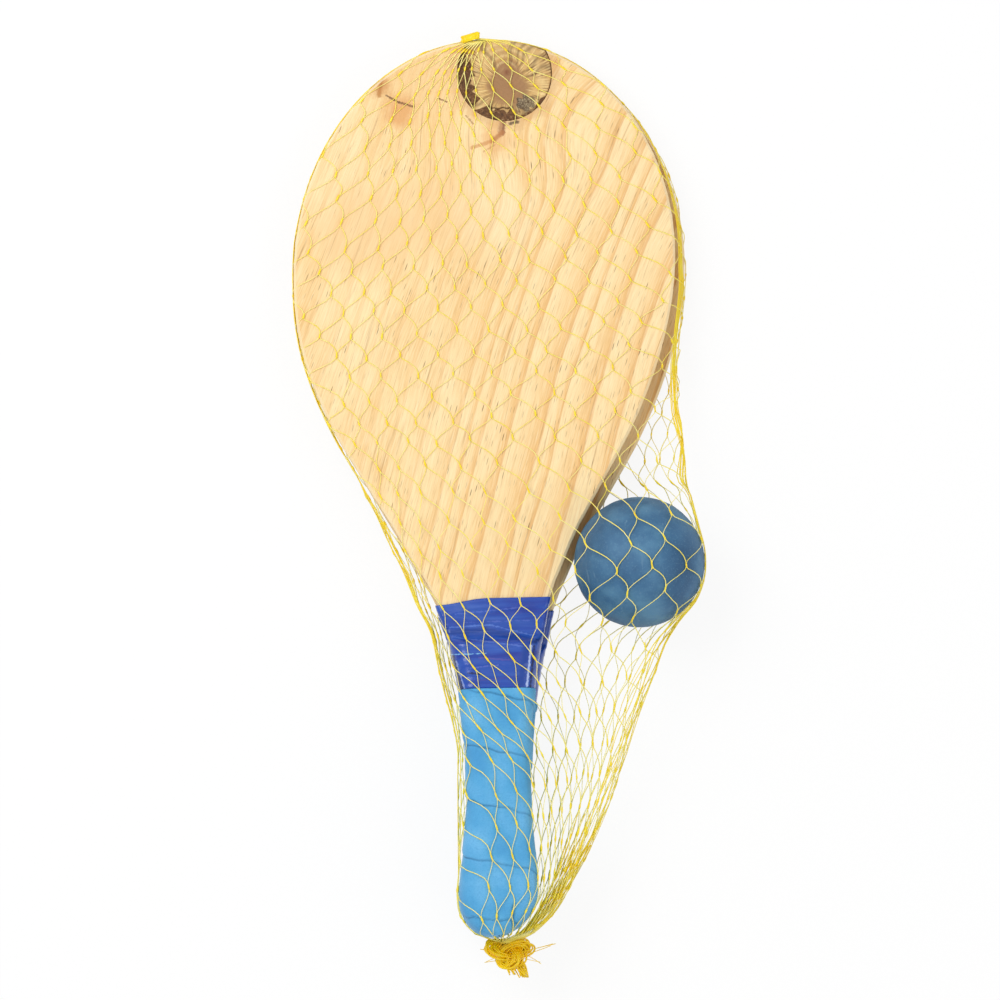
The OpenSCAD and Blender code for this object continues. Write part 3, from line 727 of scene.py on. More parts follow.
@dataclass(frozen=True)
class DeadKnotFinish(Finish):
    """Dead pine knot, sawn through: dark heart, cracks that run out from it and a ring of dark bark.

    It breaks the pale board with one rough brown disc.
    """

    gloss: ClassVar[dict[str, float]] = {"Roughness": 0.8, "IOR": 1.48}
    relief: ClassVar[tuple[float, float]] = (0.5, 0.0004)
    name: str = "dead_pine_knot"
    heart: str = "a67c56"
    rim: str = "e6c487"
    bark: str = "714c2d"
    crack: str = "553c2a"

    def paint(self, tree: Tree, coords: Node) -> tuple[Node, Node | None]:
        """Paints the knot by the rings, rays and cracks that its mesh carries.

        Args:
            tree: The material's tree.
            coords: The texture coordinates.

        Returns:
            The colour, and the height of its grit.
        """
        at = coords.outputs["Object"]
        share, crack, bark, ray, grey = [
            add(tree, "Attribute", attribute_name=name).outputs["Fac"] for name in KNOT_MARKS]
        grit = add(tree, "TexNoise", {"Vector": at, "Scale": 900.0, "Detail": 5.0, "Roughness": 0.7})
        blotch = add(tree, "TexNoise", {"Vector": at, "Scale": 160.0, "Detail": 3.0})
        colour = add(tree, "ValToRGB", {0: share}, stops=[
            (0.0, "7d4630"), (0.1, self.heart), (0.27, "a98058"), (0.38, "d2aa6c"), (0.7, self.rim),
            (0.95, "d3aa6c")])
        colour = tint(tree, colour, blotch, 0.45, 0.68, 0.5, "a37d55")
        colour = tint(tree, colour, ray, -0.1, -0.9, 0.75, "f6dc9c")
        colour = tint(tree, colour, ray, 0.15, 1.0, 0.8, "7e5a3c")
        chips = add(tree, "TexVoronoi", {"Vector": at, "Scale": 1000.0}, feature="DISTANCE_TO_EDGE")
        chipped = add(tree, "ValToRGB", {0: chips}, stops=[(0.03, "4a3a2c"), (0.12, "857760"), (0.5, "a89878")])
        flake = add(tree, "ValToRGB", {0: grit}, stops=[
            (0.35, "47301f"), (0.52, self.bark), (0.62, "86623f"), (0.7, "d9c09a")])
        for mask, tone in ((grey, chipped), (crack, linear(self.crack)), (bark, flake)):
            colour = add(tree, "MixRGB", {0: mask, 1: colour, 2: tone})
        return colour, grit


@dataclass(frozen=True)
class VinylTapeFinish(Finish):
    """Blue PVC tape, calendered and stretched on by hand.

    Painted highlights in sharp streaks and painted shade in dark bands run along its creases and over the
    handle's rounded edges; its colour is also painted darker in the crease hollows and paler on their ridges.
    """

    gloss: ClassVar[dict[str, float]] = {"Roughness": 0.27, "IOR": 1.53, "Coat Weight": 0.25,
                                         "Coat Roughness": 0.12}
    relief: ClassVar[tuple[float, float]] = (0.2, 0.0004)
    name: str = "vinyl_tape_blue"
    body: str = "1649ae"
    deep: str = "16339a"
    pale: str = "3d68c6"
    crease_mm: float = 4.0
    # Lap edges, creases, and the painted shade and painted highlights where the tape bends over the scales' ends
    # and the handle's rounded edges: two ends, half width, strength and colour
    shade_and_highlight_streaks: tuple = (
        ((-19.0, -13.4), (-3.0, -12.8), 1.5, 0.85, "043c96"),
        ((-3.0, -12.8), (18.4, -18.3), 1.9, 0.85, "043c96"),
        ((-18.6, -11.4), (-1.0, -10.6), 0.4, 0.6, "5c86dc"),
        ((-1.0, -10.6), (17.4, -15.6), 0.4, 0.5, "5c86dc"),
        ((-17.6, -15.4), (14.0, -20.4), 0.45, 0.5, "5f7fd2"),
        ((18.4, -18.3), (22.0, -16.6), 0.9, 0.6, "0a2468"),
        ((-17.4, -24.0), (-13.6, -39.0), 1.0, 0.85, "101a4e"),
        ((-16.2, -26.0), (-12.6, -38.6), 0.4, 0.6, "a9bdf0"),
        ((14.4, -20.5), (11.6, -38.8), 2.4, 0.85, "043c96"),
        ((16.6, -20.0), (14.3, -38.6), 0.6, 0.9, "b4c8f7"),
        ((18.0, -20.0), (15.8, -38.8), 0.6, 0.85, "0f1848"),
        ((-19.4, -23.2), (-3.0, -23.0), 0.3, 0.8, "7fbdec"),
        ((-11.0, -31.4), (-5.4, -32.0), 0.6, 0.8, "0f1645"),
        ((-10.0, -29.2), (2.0, -28.2), 0.35, 0.6, "5f70cc"),
        ((-8.0, -35.0), (9.0, -33.2), 0.4, 0.5, "3a3b96"),
        ((-16.0, -5.6), (12.0, -3.4), 0.35, 0.45, "5a76d2"),
        ((-12.0, -9.4), (16.0, -9.0), 0.35, 0.4, "5470cc"),
        ((-6.0, -24.8), (10.0, -26.4), 0.5, 0.5, "5c4fa6"),
    )

    def paint(self, tree: Tree, coords: Node) -> tuple[Node, Node | None]:
        """Paints the tape.

        Args:
            tree: The material's tree.
            coords: The texture coordinates.

        Returns:
            The colour, and the height of the creases.
        """
        at = coords.outputs["Object"]
        stretched = add(tree, "Mapping", {"Vector": at, "Scale": (0.12, 1.0, 1.0), "Rotation": (0.0, 0.0, -0.1)})
        crease = add(tree, "TexNoise", {"Vector": stretched, "Scale": 1 / (self.crease_mm * MM), "Detail": 4.0,
                                        "Roughness": 0.5, "Distortion": 0.6})
        # The colour follows the crease relief, darker in its hollows and paler on its ridges: painted shade and
        # painted highlight
        shade = add(tree, "ValToRGB", {0: crease}, stops=[
            (0.3, self.deep), (0.48, self.body), (0.62, "2755b4"), (0.78, self.pale)])
        scaled = add(tree, "VectorMath", {0: at, 1: (1 / MM, 1 / MM, 0.0)}, operation="MULTIPLY")
        flat = add(tree, "VectorMath", {0: scaled, 1: (MIDDLE_X, MIDDLE_Y, 0.0)}, operation="ADD")
        rough = add(tree, "TexNoise", {"Vector": flat, "Scale": 0.7, "Detail": 3.0})
        shake = add(tree, "Math", {0: rough, 1: 1.6, 2: -0.8}, operation="MULTIPLY_ADD")
        # The drawn lines are mostly painted shade and painted highlights along the creases and edges
        return draw_lines(tree, flat, self.shade_and_highlight_streaks, shake, shade), crease


@dataclass(frozen=True)
class FoamTapeFinish(Finish):
    """Sky blue foam grip tape: closed-cell foam with a skived, velvety face.

    It is matte, with a fine open grain, and painted shade darkens its lap edges.
    """

    gloss: ClassVar[dict[str, float]] = {"Roughness": 0.78, "IOR": 1.45, "Sheen Weight": 0.15,
                                         "Sheen Roughness": 0.5}
    relief: ClassVar[tuple[float, float]] = (0.35, 0.0003)
    name: str = "foam_tape_sky"
    face: str = "55a9dc"
    dim: str = "489bd2"
    light_spot: str = "6db8e8"
    cell_mm: float = 0.7

    def paint(self, tree: Tree, coords: Node) -> tuple[Node, Node | None]:
        """Paints the foam.

        Args:
            tree: The material's tree.
            coords: The texture coordinates.

        Returns:
            The colour, and the height of the cells.
        """
        at = coords.outputs["Object"]
        cell = add(tree, "TexNoise", {"Vector": at, "Scale": 1 / (self.cell_mm * MM), "Detail": 3.0,
                                      "Roughness": 0.6})
        cloud = add(tree, "TexNoise", {"Vector": at, "Scale": 70.0, "Detail": 3.0})
        tone = add(tree, "ValToRGB", {0: cloud}, stops=[
            (0.3, self.dim), (0.5, self.face), (0.72, self.light_spot)])
        grained = tint(tree, tone, cell, 0.45, 0.75, 0.45, "418fc8")
        # Painted shade: the lap edges and the tuck's crease are darkened
        lap = add(tree, "Attribute", attribute_name="lap_edge")
        return add(tree, "MixRGB", {0: lap.outputs["Fac"], 1: grained, 2: linear("22608f")}), cell


@dataclass(frozen=True)
class BallRubberFinish(Finish):
    """Steel blue natural rubber, moulded and tumbled.

    It is matte and chalky, with pale scuffs and fine dust speckle.
    """

    gloss: ClassVar[dict[str, float]] = {"Roughness": 0.62, "IOR": 1.52}
    relief: ClassVar[tuple[float, float]] = (0.2, 0.0003)
    name: str = "moulded_rubber_steel_blue"
    face: str = "3a6b92"
    dim: str = "2b587f"
    chalk: str = "6591ad"
    speckle_mm: float = 0.8

    def paint(self, tree: Tree, coords: Node) -> tuple[Node, Node | None]:
        """Paints the rubber.

        Args:
            tree: The material's tree.
            coords: The texture coordinates.

        Returns:
            The colour, and the height of the dust.
        """
        at = coords.outputs["Object"]
        cloud = add(tree, "TexNoise", {"Vector": at, "Scale": 55.0, "Detail": 4.0, "Roughness": 0.55})
        tone = add(tree, "ValToRGB", {0: cloud}, stops=[(0.32, self.dim), (0.52, self.face), (0.7, "5486a8")])
        speck = add(tree, "TexNoise", {"Vector": at, "Scale": 1 / (self.speckle_mm * MM), "Detail": 2.0})
        dusty = tint(tree, tone, speck, 0.55, 0.8, 0.4, self.chalk)
        drawn = add(tree, "Mapping", {"Vector": at, "Scale": (1.0, 0.16, 1.0), "Rotation": (0.0, 0.3, 0.9)})
        scratch = add(tree, "TexNoise", {"Vector": drawn, "Scale": 520.0, "Detail": 1.0})
        return tint(tree, dusty, scratch, 0.66, 0.8, 0.22, "86a9c0"), speck


@dataclass(frozen=True)
class NetStrandFinish(Finish):
    """Yellow polyethylene net, extruded and drawn.

    The drawn strands are a paler yellow than the fused joints and the bunched ends.
    """

    gloss: ClassVar[dict[str, float]] = {"Roughness": 0.32, "IOR": 1.5}
    thin: str
    thick: str
    patch_mm: float = 9.0

    def paint(self, tree: Tree, coords: Node) -> tuple[Node, Node | None]:
        """Paints the strand plastic, with no relief.

        Args:
            tree: The material's tree.
            coords: The texture coordinates.

        Returns:
            The colour, and no height.
        """
        drawn = add(tree, "TexNoise", {"Vector": coords.outputs["Object"], "Scale": 1 / (self.patch_mm * MM),
                                       "Detail": 2.0})
        return add(tree, "ValToRGB", {0: drawn}, stops=[(0.35, self.thick), (0.62, self.thin)]), None


@dataclass(frozen=True)
class FloorFinish(Finish):
    """White paper sweep, which the camera sees mostly as plain white but which keeps a soft shadow."""

    gloss: ClassVar[dict[str, float]] = {"Roughness": 0.9}
    name: str = "white_sweep_paper"
    plain: float = 0.88

    def paint(self, tree: Tree, coords: Node) -> tuple[Node, Node | None]:
        """Paints the paper, with no relief.

        Args:
            tree: The material's tree.
            coords: The texture coordinates.

        Returns:
            The colour, and no height.
        """
        tooth = add(tree, "TexNoise", {"Vector": coords.outputs["Object"], "Scale": 700.0, "Detail": 2.0})
        return add(tree, "ValToRGB", {0: tooth}, stops=[(0.4, "fbfbfb"), (0.6, "ffffff")]), None

    def light(self, tree: Tree, shader: Node) -> Node:
        """Blends the paper with plain white for the camera, mirrors and glass.

        Args:
            tree: The material's tree.
            shader: The paper's own shader.

        Returns:
            The blend.
        """
        path = add(tree, "LightPath")
        seen = add(tree, "Math", {0: path.outputs["Is Camera Ray"], 1: path.outputs["Is Glossy Ray"]},
                   operation="MAXIMUM")
        through = add(tree, "Math", {0: seen, 1: path.outputs["Is Transmission Ray"]}, operation="MAXIMUM")
        share = add(tree, "Math", {0: through, 1: self.plain}, operation="MULTIPLY")
        white = add(tree, "Emission", {"Color": WHITE, "Strength": 1.0})
        return add(tree, "MixShader", {0: share, 1: shader, 2: white})


@dataclass
class PaddleShape:
    """The paddle's outline and thickness in its own millimetres: the throat is at 0 and the tip at +Y."""

    blade_l: float = 244.5
    blade_w: float = 166.0
    crown_l: float = 98.0
    board_t: float = 7.0
    tape_l: float = 39.0
    grip_l: float = 107.5
    throat_w: float = 50.4
    grip_top_w: float = 33.5
    waist_w: float = 27.6
    swell_w: float = 33.1
    butt_r: float = 18.5
    butt_slant: float = 0.17
    scale_t: float = 6.5
    corner_r: float = 6.0
    tape_t: float = 0.8
    foam_t: float = 0.9
    lap_step: float = 0.4
    lap_pitch: float = 24.6
    trim: float = 0.0
    scale_from: float = 14.0
    ramp_l: float = 6.0
    ease: float = 1.0

    def __post_init__(self) -> None:
        """Sets the curves that the sizes give."""
        self.flank_l = self.blade_l - self.crown_l
        self.full_l = self.tape_l + self.grip_l
        half = self.blade_w / 2
        self.widths = [
            (-self.full_l, self.swell_w / 2 - self.foam_t),
            (-self.tape_l - self.grip_l * 0.79, self.swell_w / 2 - self.foam_t),
            (-self.tape_l - self.grip_l * 0.4, self.waist_w / 2 - self.foam_t),
            (-self.tape_l, self.grip_top_w / 2 - self.foam_t),
            (0.0, self.throat_w / 2 - self.tape_t),
        ] + [(self.flank_l * s, half * w) for s, w in (
            (0.13, 0.406), (0.21, 0.476), (0.33, 0.6), (0.54, 0.806), (0.77, 0.953), (1.0, 1.0))]
        self.sways = [(self.blade_l * s, self.blade_w * w) for s, w in (
            (-0.6, 0.0), (-0.35, 0.007), (-0.1, 0.007), (0.0, 0.003), (0.1, -0.008), (0.3, -0.012),
            (0.46, -0.01), (0.6, 0.0), (0.85, 0.013), (1.0, 0.016))]

    @property
    def end(self) -> float:
        """Gives the length of the handle as it was cut."""
        return self.full_l - self.trim

    def wood_w(self, y: float) -> float:
        """Gives the bare wood's half width at y."""
        if y > self.flank_l:
            return self.blade_w / 2 * math.sqrt(max(0.0, 1 - ((y - self.flank_l) / self.crown_l) ** 2))
        return spline(self.widths, y)

    def butt_u(self, y: float, skin: float) -> float:
        """Gives how far y lies into the round end of the butt, from 0 to 1."""
        return min(1.0, max(0.0, (self.butt_r - self.end - y) / (self.butt_r - self.foam_t + skin)))

    def half_w(self, y: float, skin: float) -> float:
        """Gives the half width at y, skin proud of the wood."""
        return (self.wood_w(y) + skin) * math.sqrt(1 - self.butt_u(y, skin) ** 2)

    def half_h(self, y: float, skin: float) -> float:
        """Gives the half height at y, skin proud of the wood."""
        scale = 0.0
        if y <= -self.scale_from:
            scale = mix(0.3, self.scale_t, smooth((-self.scale_from - y) / self.ramp_l))
        return (self.board_t / 2 + scale + skin) * math.sqrt(1 - (self.butt_u(y, skin) * 0.7) ** 2)

    def ring(self, y: float, skin: float, count: int) -> np.ndarray:
        """Gives the wrapped handle's section at y, swayed off the axis and slanted at the butt.

        Args:
            y: The place along the handle.
            skin: How far the wrap stands proud of the wood.
            count: How many points it has.

        Returns:
            Points counter-clockwise seen along +Y, from the middle of the right side.
        """
        w = self.half_w(y, skin)
        h = self.half_h(y, skin)
        corner = max(self.ease, min(self.corner_r, self.half_h(y, 0.0) - self.board_t / 2)) + skin
        r = min(w * 0.95, h * 0.95, corner)
        outline = [(w, 0.0)]
        for sx, sz, first in ((1, 1, 0), (-1, 1, 90), (-1, -1, 180), (1, -1, 270)):
            for a in np.radians(np.linspace(first, first + 90, 9)):
                outline.append((sx * (w - r) + r * math.cos(a), sz * (h - r) + r * math.sin(a)))
        outline.append((w, 0.0))
        flat = along(np.array(outline), np.arange(count) / count)
        reach = self.butt_r * 1.6
        slant = self.butt_slant * smooth((reach - self.end - y) / reach)
        return xyz(flat[:, 0] + spline(self.sways, y), y + slant * flat[:, 0], flat[:, 1])


@dataclass
class Lie:
    """Where a paddle lies: it tilts about the throat end of its scales and may be turned and shifted."""

    tilt: float
    height: float
    fulcrum: float = 25.5
    turn: float = 0.0
    shift: float = 0.0
    handle_l: float = 146.5

    def place(self, points: np.ndarray) -> np.ndarray:
        """Brings points from the paddle's own millimetres to the row frame's.

        Args:
            points: Points of the paddle.

        Returns:
            The same points in the row frame.
        """
        x, y, z = points.T
        a = -math.radians(self.turn)
        y = y + self.handle_l / 2 - self.shift
        x, y = x * math.cos(a) - y * math.sin(a), x * math.sin(a) + y * math.cos(a) - self.handle_l / 2
        t = -math.radians(self.tilt)
        y = y + self.fulcrum
        y, z = y * math.cos(t) - z * math.sin(t) - self.fulcrum, y * math.sin(t) + z * math.cos(t) + self.height
        return xyz(x - MIDDLE_X, y - MIDDLE_Y, z)


@dataclass
class Paddle:
    """One paddle: its pine nodes keep their solids, and its tape and foam are wound anew round the handle."""

    side: str
    body: Body
    lie: Lie
    shape: PaddleShape
    pine: PineFinish
    seed: int
    around: int = 168
    tape_rows: int = 74
    grip_rows: int = 290
    butt_rows: int = 43
    first_lap: float = -18.6
    tuck: tuple[float, float] = (6.2, -133.0)
    # How far inside its face a wrap is lined
    core_t: float = 1.0
    lining: float = 0.35

    def dress(self, frame: dict[str, Any]) -> None:
        """Gives the pine nodes their material.

        Args:
            frame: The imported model.
        """
        pine = self.pine.build()
        for part in ("board", "scale_upper", "scale_lower"):
            node = frame["nodes"][f"{self.side}_{part}"]
            node.data.materials.clear()
            node.data.materials.append(pine)
        LOG.info("dressed %s board and scales", self.side)

    def rings(self, y: float, thick: float) -> tuple[np.ndarray, np.ndarray, np.ndarray]:
        """Gives a wrap's rings at one place along the handle.

        Args:
            y: The place along the handle.
            thick: How far the wrap stands proud of the wood.

        Returns:
            The wrap's face, a ring inside it and the way out at each point.
        """
        face = self.shape.ring(y, thick, self.around)
        core = self.shape.ring(y, thick - self.core_t, self.around)
        return face, core, unit(face - core)

    def wrap(self, name: str, outer: list[np.ndarray], inner: list[np.ndarray], material: Material,
             closed: bool) -> Piece:
        """Makes a wrap from its outer and inner rings.

        Args:
            name: The piece's name.
            outer: Outer rings from the butt to the tip.
            inner: Inner rings in the same order.
            material: Its material.
            closed: Whether its butt end is closed.

        Returns:
            The wrap.
        """
        n = self.around
        rings = outer + inner[::-1]
        last = (len(rings) - 1) * n
        if closed:
            faces = tube_faces(len(rings), n)
        else:
            faces = grid_faces(len(rings), n)
            faces += [(i, (i + 1) % n, last + (i + 1) % n, last + i) for i in range(n)]
        return mesh_piece(name, self.lie.place(np.concatenate(rings)), faces, material)

    def wind_tape(self, material: Material) -> None:
        """Winds the wrinkled vinyl tape round the throat.

        Args:
            material: The vinyl.
        """
        outer, inner = [], []
        turn = np.arange(self.around) / self.around
        for k in range(self.tape_rows):
            share = k / (self.tape_rows - 1)
            ring, core, away = self.rings(mix(-self.shape.tape_l, 0.0, share), self.shape.tape_t)
            # Three laps whose edges climb round the throat, each with its creases
            climb = (share * 3.2 + turn * 0.8 + 0.1 * np.sin(turn * 2 * TURN)) % 1
            step = 0.22 * np.exp(-climb * 5) - 0.06
            flat = np.stack([turn * 10, np.full(self.around, share * 20)], 1)
            crease = wobble(flat, 5.0, self.seed) * 0.07 + wobble(flat * 2.2, 5.0, self.seed + 1) * 0.04
            # The upper lap's edge drops from left to right across the face
            past = share - (0.5 + 0.19 * np.clip((turn - 0.08) / 0.34, 0, 1) ** 0.8)
            fold = 0.34 * np.clip(past / 0.02, 0, 1) * np.clip(1 - past / 0.5, 0, 1)
            fold += 0.16 * np.exp(-((past + 0.03) / 0.012) ** 2)
            edge = min(1.0, k / 1.5, (self.tape_rows - 1 - k) / 1.5)
            ring = ring + away * ((step + crease + fold * 0.8) * edge)[:, None]
            # The tape's upper edge dips on the left
            dip = (0.8 - 2.7 * smooth((-2.0 - ring[:, 0]) / 22.0)) * smooth((share - 0.7) / 0.3)
            ring[:, 1] += dip
            core[:, 1] += dip
            outer.append(ring)
            inner.append(core + away * self.lining)
        piece = self.wrap(f"{self.side}_throat_wrap", outer, inner, material, closed=False)
        assign(piece, f"{self.side}_throat_tape", self.body)

    def wind_grip(self, material: Material) -> None:
        """Winds the foam tape up the handle from the butt, each lap over the one before it.

        Args:
            material: The foam.
        """
        shape = self.shape
        base = shape.butt_r - shape.end
        top = -shape.tape_l - 0.1
        first = base + self.first_lap
        ends = base - shape.butt_r * np.sin(np.radians(np.linspace(86, 2, self.butt_rows)))
        turn = np.arange(self.around) / self.around
        outer, inner, marks = [], [], []
        for y in np.concatenate([ends, np.linspace(base, top, self.grip_rows)]):
            ring, core, away = self.rings(y, shape.foam_t)
            wander = 0.5 * np.sin(turn * 2 * TURN + self.seed)
            wander += 0.35 * np.sin(turn * 34 + y * 0.1) + 0.2 * np.sin(turn * 71 + self.seed)
            climb = (y - first + wander) / shape.lap_pitch - turn
            lap = climb - np.floor(climb)
            started = smooth((y - first) / 3.0)
            lip = np.clip(lap / 0.03, 0, 1) * (1 - lap) ** 1.4 * 1.5
            proud = (shape.lap_step * lip + 0.12 * np.sin(math.pi * lap)) * started
            dents = wobble(ring, 9.0, self.seed) * 0.07 + wobble(ring, 3.0, self.seed + 1) * 0.03
            roll = -0.35 * (1 - min(1.0, (top - y) / 0.8))
            groove = -0.22 * np.exp(-(lap / 0.015) ** 2) * started
            # The last lap is tucked in over the butt, which leaves a crease
            tuck = np.exp(-((ring[:, 0] - self.tuck[0]) / 0.5) ** 2) * (ring[:, 2] > 0)
            tuck *= np.clip((self.tuck[1] - ring[:, 1]) / 2.0, 0, 1)
            outer.append(ring + away * (proud + dents + roll + groove - 0.5 * tuck)[:, None])
            inner.append(core + away * self.lining)
            # Painted shade: the seams and the tuck's crease are marked darker for the finish
            seam = np.exp(-(np.minimum(lap, 1 - lap) / 0.012) ** 2) * started
            fade = 0.75 + 0.25 * np.sin(turn * 9 + y * 0.3)
            marks.append(np.maximum(seam * fade, tuck * 0.8))
        piece = self.wrap(f"{self.side}_foam_wrap", outer, inner, material, closed=True)
        shown = np.concatenate(marks) * 0.7
        mark(piece, "lap_edge", np.concatenate([shown, np.zeros(len(shown))]))
        assign(piece, f"{self.side}_grip", self.body)


@dataclass
class DeadKnot:
    """The dead knot: a cracked, bark-ringed plug of the front board."""

    lie: Lie
    shape: PaddleShape
    centre: tuple[float, float] = (10.458, 229.59)
    radius: float = 20.6
    gap: float = 0.25
    heart: tuple[float, float] = (1.4, -5.5)
    heart_size: tuple[float, float] = (8.2, 8.8)
    pith: tuple[float, float] = (1.1, 0.4)
    weathered: tuple[float, float, float] = (9.0, -13.2, 4.2)
    split: tuple = ((-6.6, -15.1), (3.4, -14.9))
    rings: int = 72
    back_rings: int = 8
    around: int = 480
    cracks: int = 17
    waves: int = 26
    # Windows round the knot for bark, bare wood and pale rings, in degrees: start, rise, end and fall
    left_bark: tuple = (148, 14, 216, 14)
    low_bark: tuple = (228, 10, 279, 10)
    right_bark: tuple = (285, 8, 325, 10)
    bare: tuple = (35, 20, 100, 20)
    ringed: tuple = (25, 25, 125, 25)

    def __post_init__(self) -> None:
        """Draws the cracks and rays, and finds how far the plug reaches in each direction."""
        rng = np.random.default_rng(11)
        self.lines = [(rng.uniform(0, TURN), rng.uniform(0.25, 0.7), rng.uniform(0.02, 0.05))
                      for _ in range(self.cracks)]
        self.stripes = rng.normal(size=(self.waves, 2))
        self.angles = turns(self.around)
        self.limits = np.array([self.reach(a) for a in self.angles])

    def reach(self, angle: float) -> float:
        """Gives how far the plug goes from its centre, which the board's tip cuts off.

        Args:
            angle: The direction seen from above.

        Returns:
            The distance in millimetres.
        """
        low, high = 0.0, self.radius
        for _ in range(24):
            r = (low + high) / 2
            x = self.centre[0] + r * math.cos(angle)
            y = self.centre[1] + r * math.sin(angle)
            room = self.shape.wood_w(y) - self.gap
            inside = abs(x - spline(self.shape.sways, y)) < room and y < self.shape.blade_l - self.gap
            low, high = (r, high) if inside else (low, r)
        return low

    def bark(self, a: np.ndarray, out: np.ndarray) -> np.ndarray:
        """Gives where bark is: thick on the left and at the bottom, thin at the right, none at the top.

        Args:
            a: The directions seen from above.
            out: The shares of the way from the heart to the rim.

        Returns:
            1 where bark is and 0 where it isn't.
        """
        turn = np.degrees(a)
        thick = np.maximum(0.03 + 0.27 * window(turn, *self.left_bark), 0.31 * window(turn, *self.low_bark))
        thick = np.maximum(thick, 0.09 * window(turn, *self.right_bark)) * (1 - window(turn, *self.bare))
        inner = 1 - thick * (1 + 0.13 * np.sin(a * 17) + 0.1 * np.sin(a * 31 + 2))
        return smooth((out - inner) / 0.025) * (thick > 0.004)

    def rays(self, a: np.ndarray, out: np.ndarray, from_pith: np.ndarray) -> np.ndarray:
        """Gives the fibres' rays, which give way to pale rings round the pith toward the tip.

        Args:
            a: The directions seen from above.
            out: The shares of the way from the heart to the rim.
            from_pith: The distances from the pith.

        Returns:
            How dark the rays are, below 0 where they are pale.
        """
        turn = np.degrees(a)
        comb = sum(np.sin(a * (17 + 4.3 * q) + p[0] * 6 + out * p[1] * 5) for q, p in enumerate(self.stripes)) / 4
        comb = comb * (0.65 + 0.35 * np.sin(out * 19 + 3 * np.sin(a * 5)))
        rings = np.sin(from_pith * 2.3 + 0.8 * np.sin(a * 2)) * 0.35 - 0.2 + comb * 0.2
        return mix(comb * mix(1.0, 0.55, smooth((turn - 150) / 30)), rings, window(turn, *self.ringed))

    def face(self, count: int) -> tuple[np.ndarray, dict[str, np.ndarray]]:
        """Works out one face of the plug as rings of points from its heart to its rim.

        Args:
            count: How many rings it has.

        Returns:
            Its points, with heights from the board's middle, and the marks that its finish reads.
        """
        out = ((np.arange(count) + 0.4) / (count - 0.6))[:, None]
        a = self.angles[None]
        x = self.heart[0] * (1 - out) + np.cos(a) * self.limits * out
        y = self.heart[1] * (1 - out) + np.sin(a) * self.limits * out
        from_heart = np.hypot((x - self.heart[0]) / self.heart_size[0], (y - self.heart[1]) / self.heart_size[1])
        from_heart += 0.07 * np.sin(a * 3 + 1) + 0.04 * np.sin(a * 7)
        from_pith = np.hypot(x - self.pith[0], y - self.pith[1])
        crack = np.zeros(x.shape)
        for at, start, width in self.lines:
            apart = np.abs((a + 0.05 * np.sin(out * 14) - at + math.pi) % TURN - math.pi)
            deep = np.exp(-(apart / (width * (0.6 + out))) ** 2) * smooth((out - start * 0.5) * 5)
            crack = np.maximum(crack, deep * 0.5 * smooth((from_heart - 0.9) * 3))
        bark = self.bark(a, out)
        share = np.where(from_heart < 1, mix(0.12, 0.3, from_heart), 0.3 + 0.5 * (from_heart - 1))
        worn = np.hypot(x - self.weathered[0], y - self.weathered[1]) / self.weathered[2]
        worn += 0.16 * np.sin(x * 1.9) + 0.14 * np.sin(y * 2.3 + x)
        weather = 1 - smooth((worn - 0.75) / 0.3)
        (ax, ay), (bx, by) = self.split
        line = np.abs(y - mix(ay, by, (x - ax) / (bx - ax)) + 0.25 * np.sin(x * 1.6))
        gash = np.exp(-(line / 0.3) ** 2) * ((ax < x) & (x < bx))
        drop = 0.5 * crack + 0.45 * bark * (1 - smooth((out - 0.97) / 0.03)) + 0.8 * gash + 0.25
        half = self.shape.board_t / 2
        rise = half - drop - 0.3 * weather + 0.08 * np.sin(from_pith * 3.1) * (1 - bark)
        rise = np.where(out > 0.985, half - 0.6, rise)
        ray = np.clip(self.rays(a, out, from_pith), -1.0, 1.0) * smooth((from_heart - 0.72) / 0.5) * (1 - bark)
        marks = (np.minimum(np.minimum(1.0, share), 0.055 * from_pith),
                 np.maximum(crack, gash) * (1 - bark * (gash < 0.5)), bark * (1 - weather), ray, weather * 0.9)
        points = xyz(self.centre[0] + x, self.centre[1] + y, rise).reshape(-1, 3)
        return points, dict(zip(KNOT_MARKS, marks))

    def build(self, material: Material) -> None:
        """Builds the plug with its rings, cracks and bark.

        Args:
            material: The knot wood.
        """
        top, top_marks = self.face(self.rings)
        back, back_marks = self.face(self.back_rings)
        n, first = self.around, len(top)
        top_rim, back_rim = first - n, first + len(back) - n
        faces = grid_faces(self.rings, n) + grid_faces(self.back_rings, n, first, flip=True)
        faces += [tuple(range(n)), tuple(range(first, first + n))[::-1]]
        faces += [(top_rim + i, back_rim + i, back_rim + (i + 1) % n, top_rim + (i + 1) % n) for i in range(n)]
        points = self.lie.place(np.concatenate([top, back * (1, 1, -1)]))
        piece = mesh_piece("front_knot_plug", points, faces, material)
        for name in KNOT_MARKS:
            mark(piece, name, np.concatenate([top_marks[name].ravel(), back_marks[name].ravel()]))
        assign(piece, "front_board_knot", Body.FRONT)


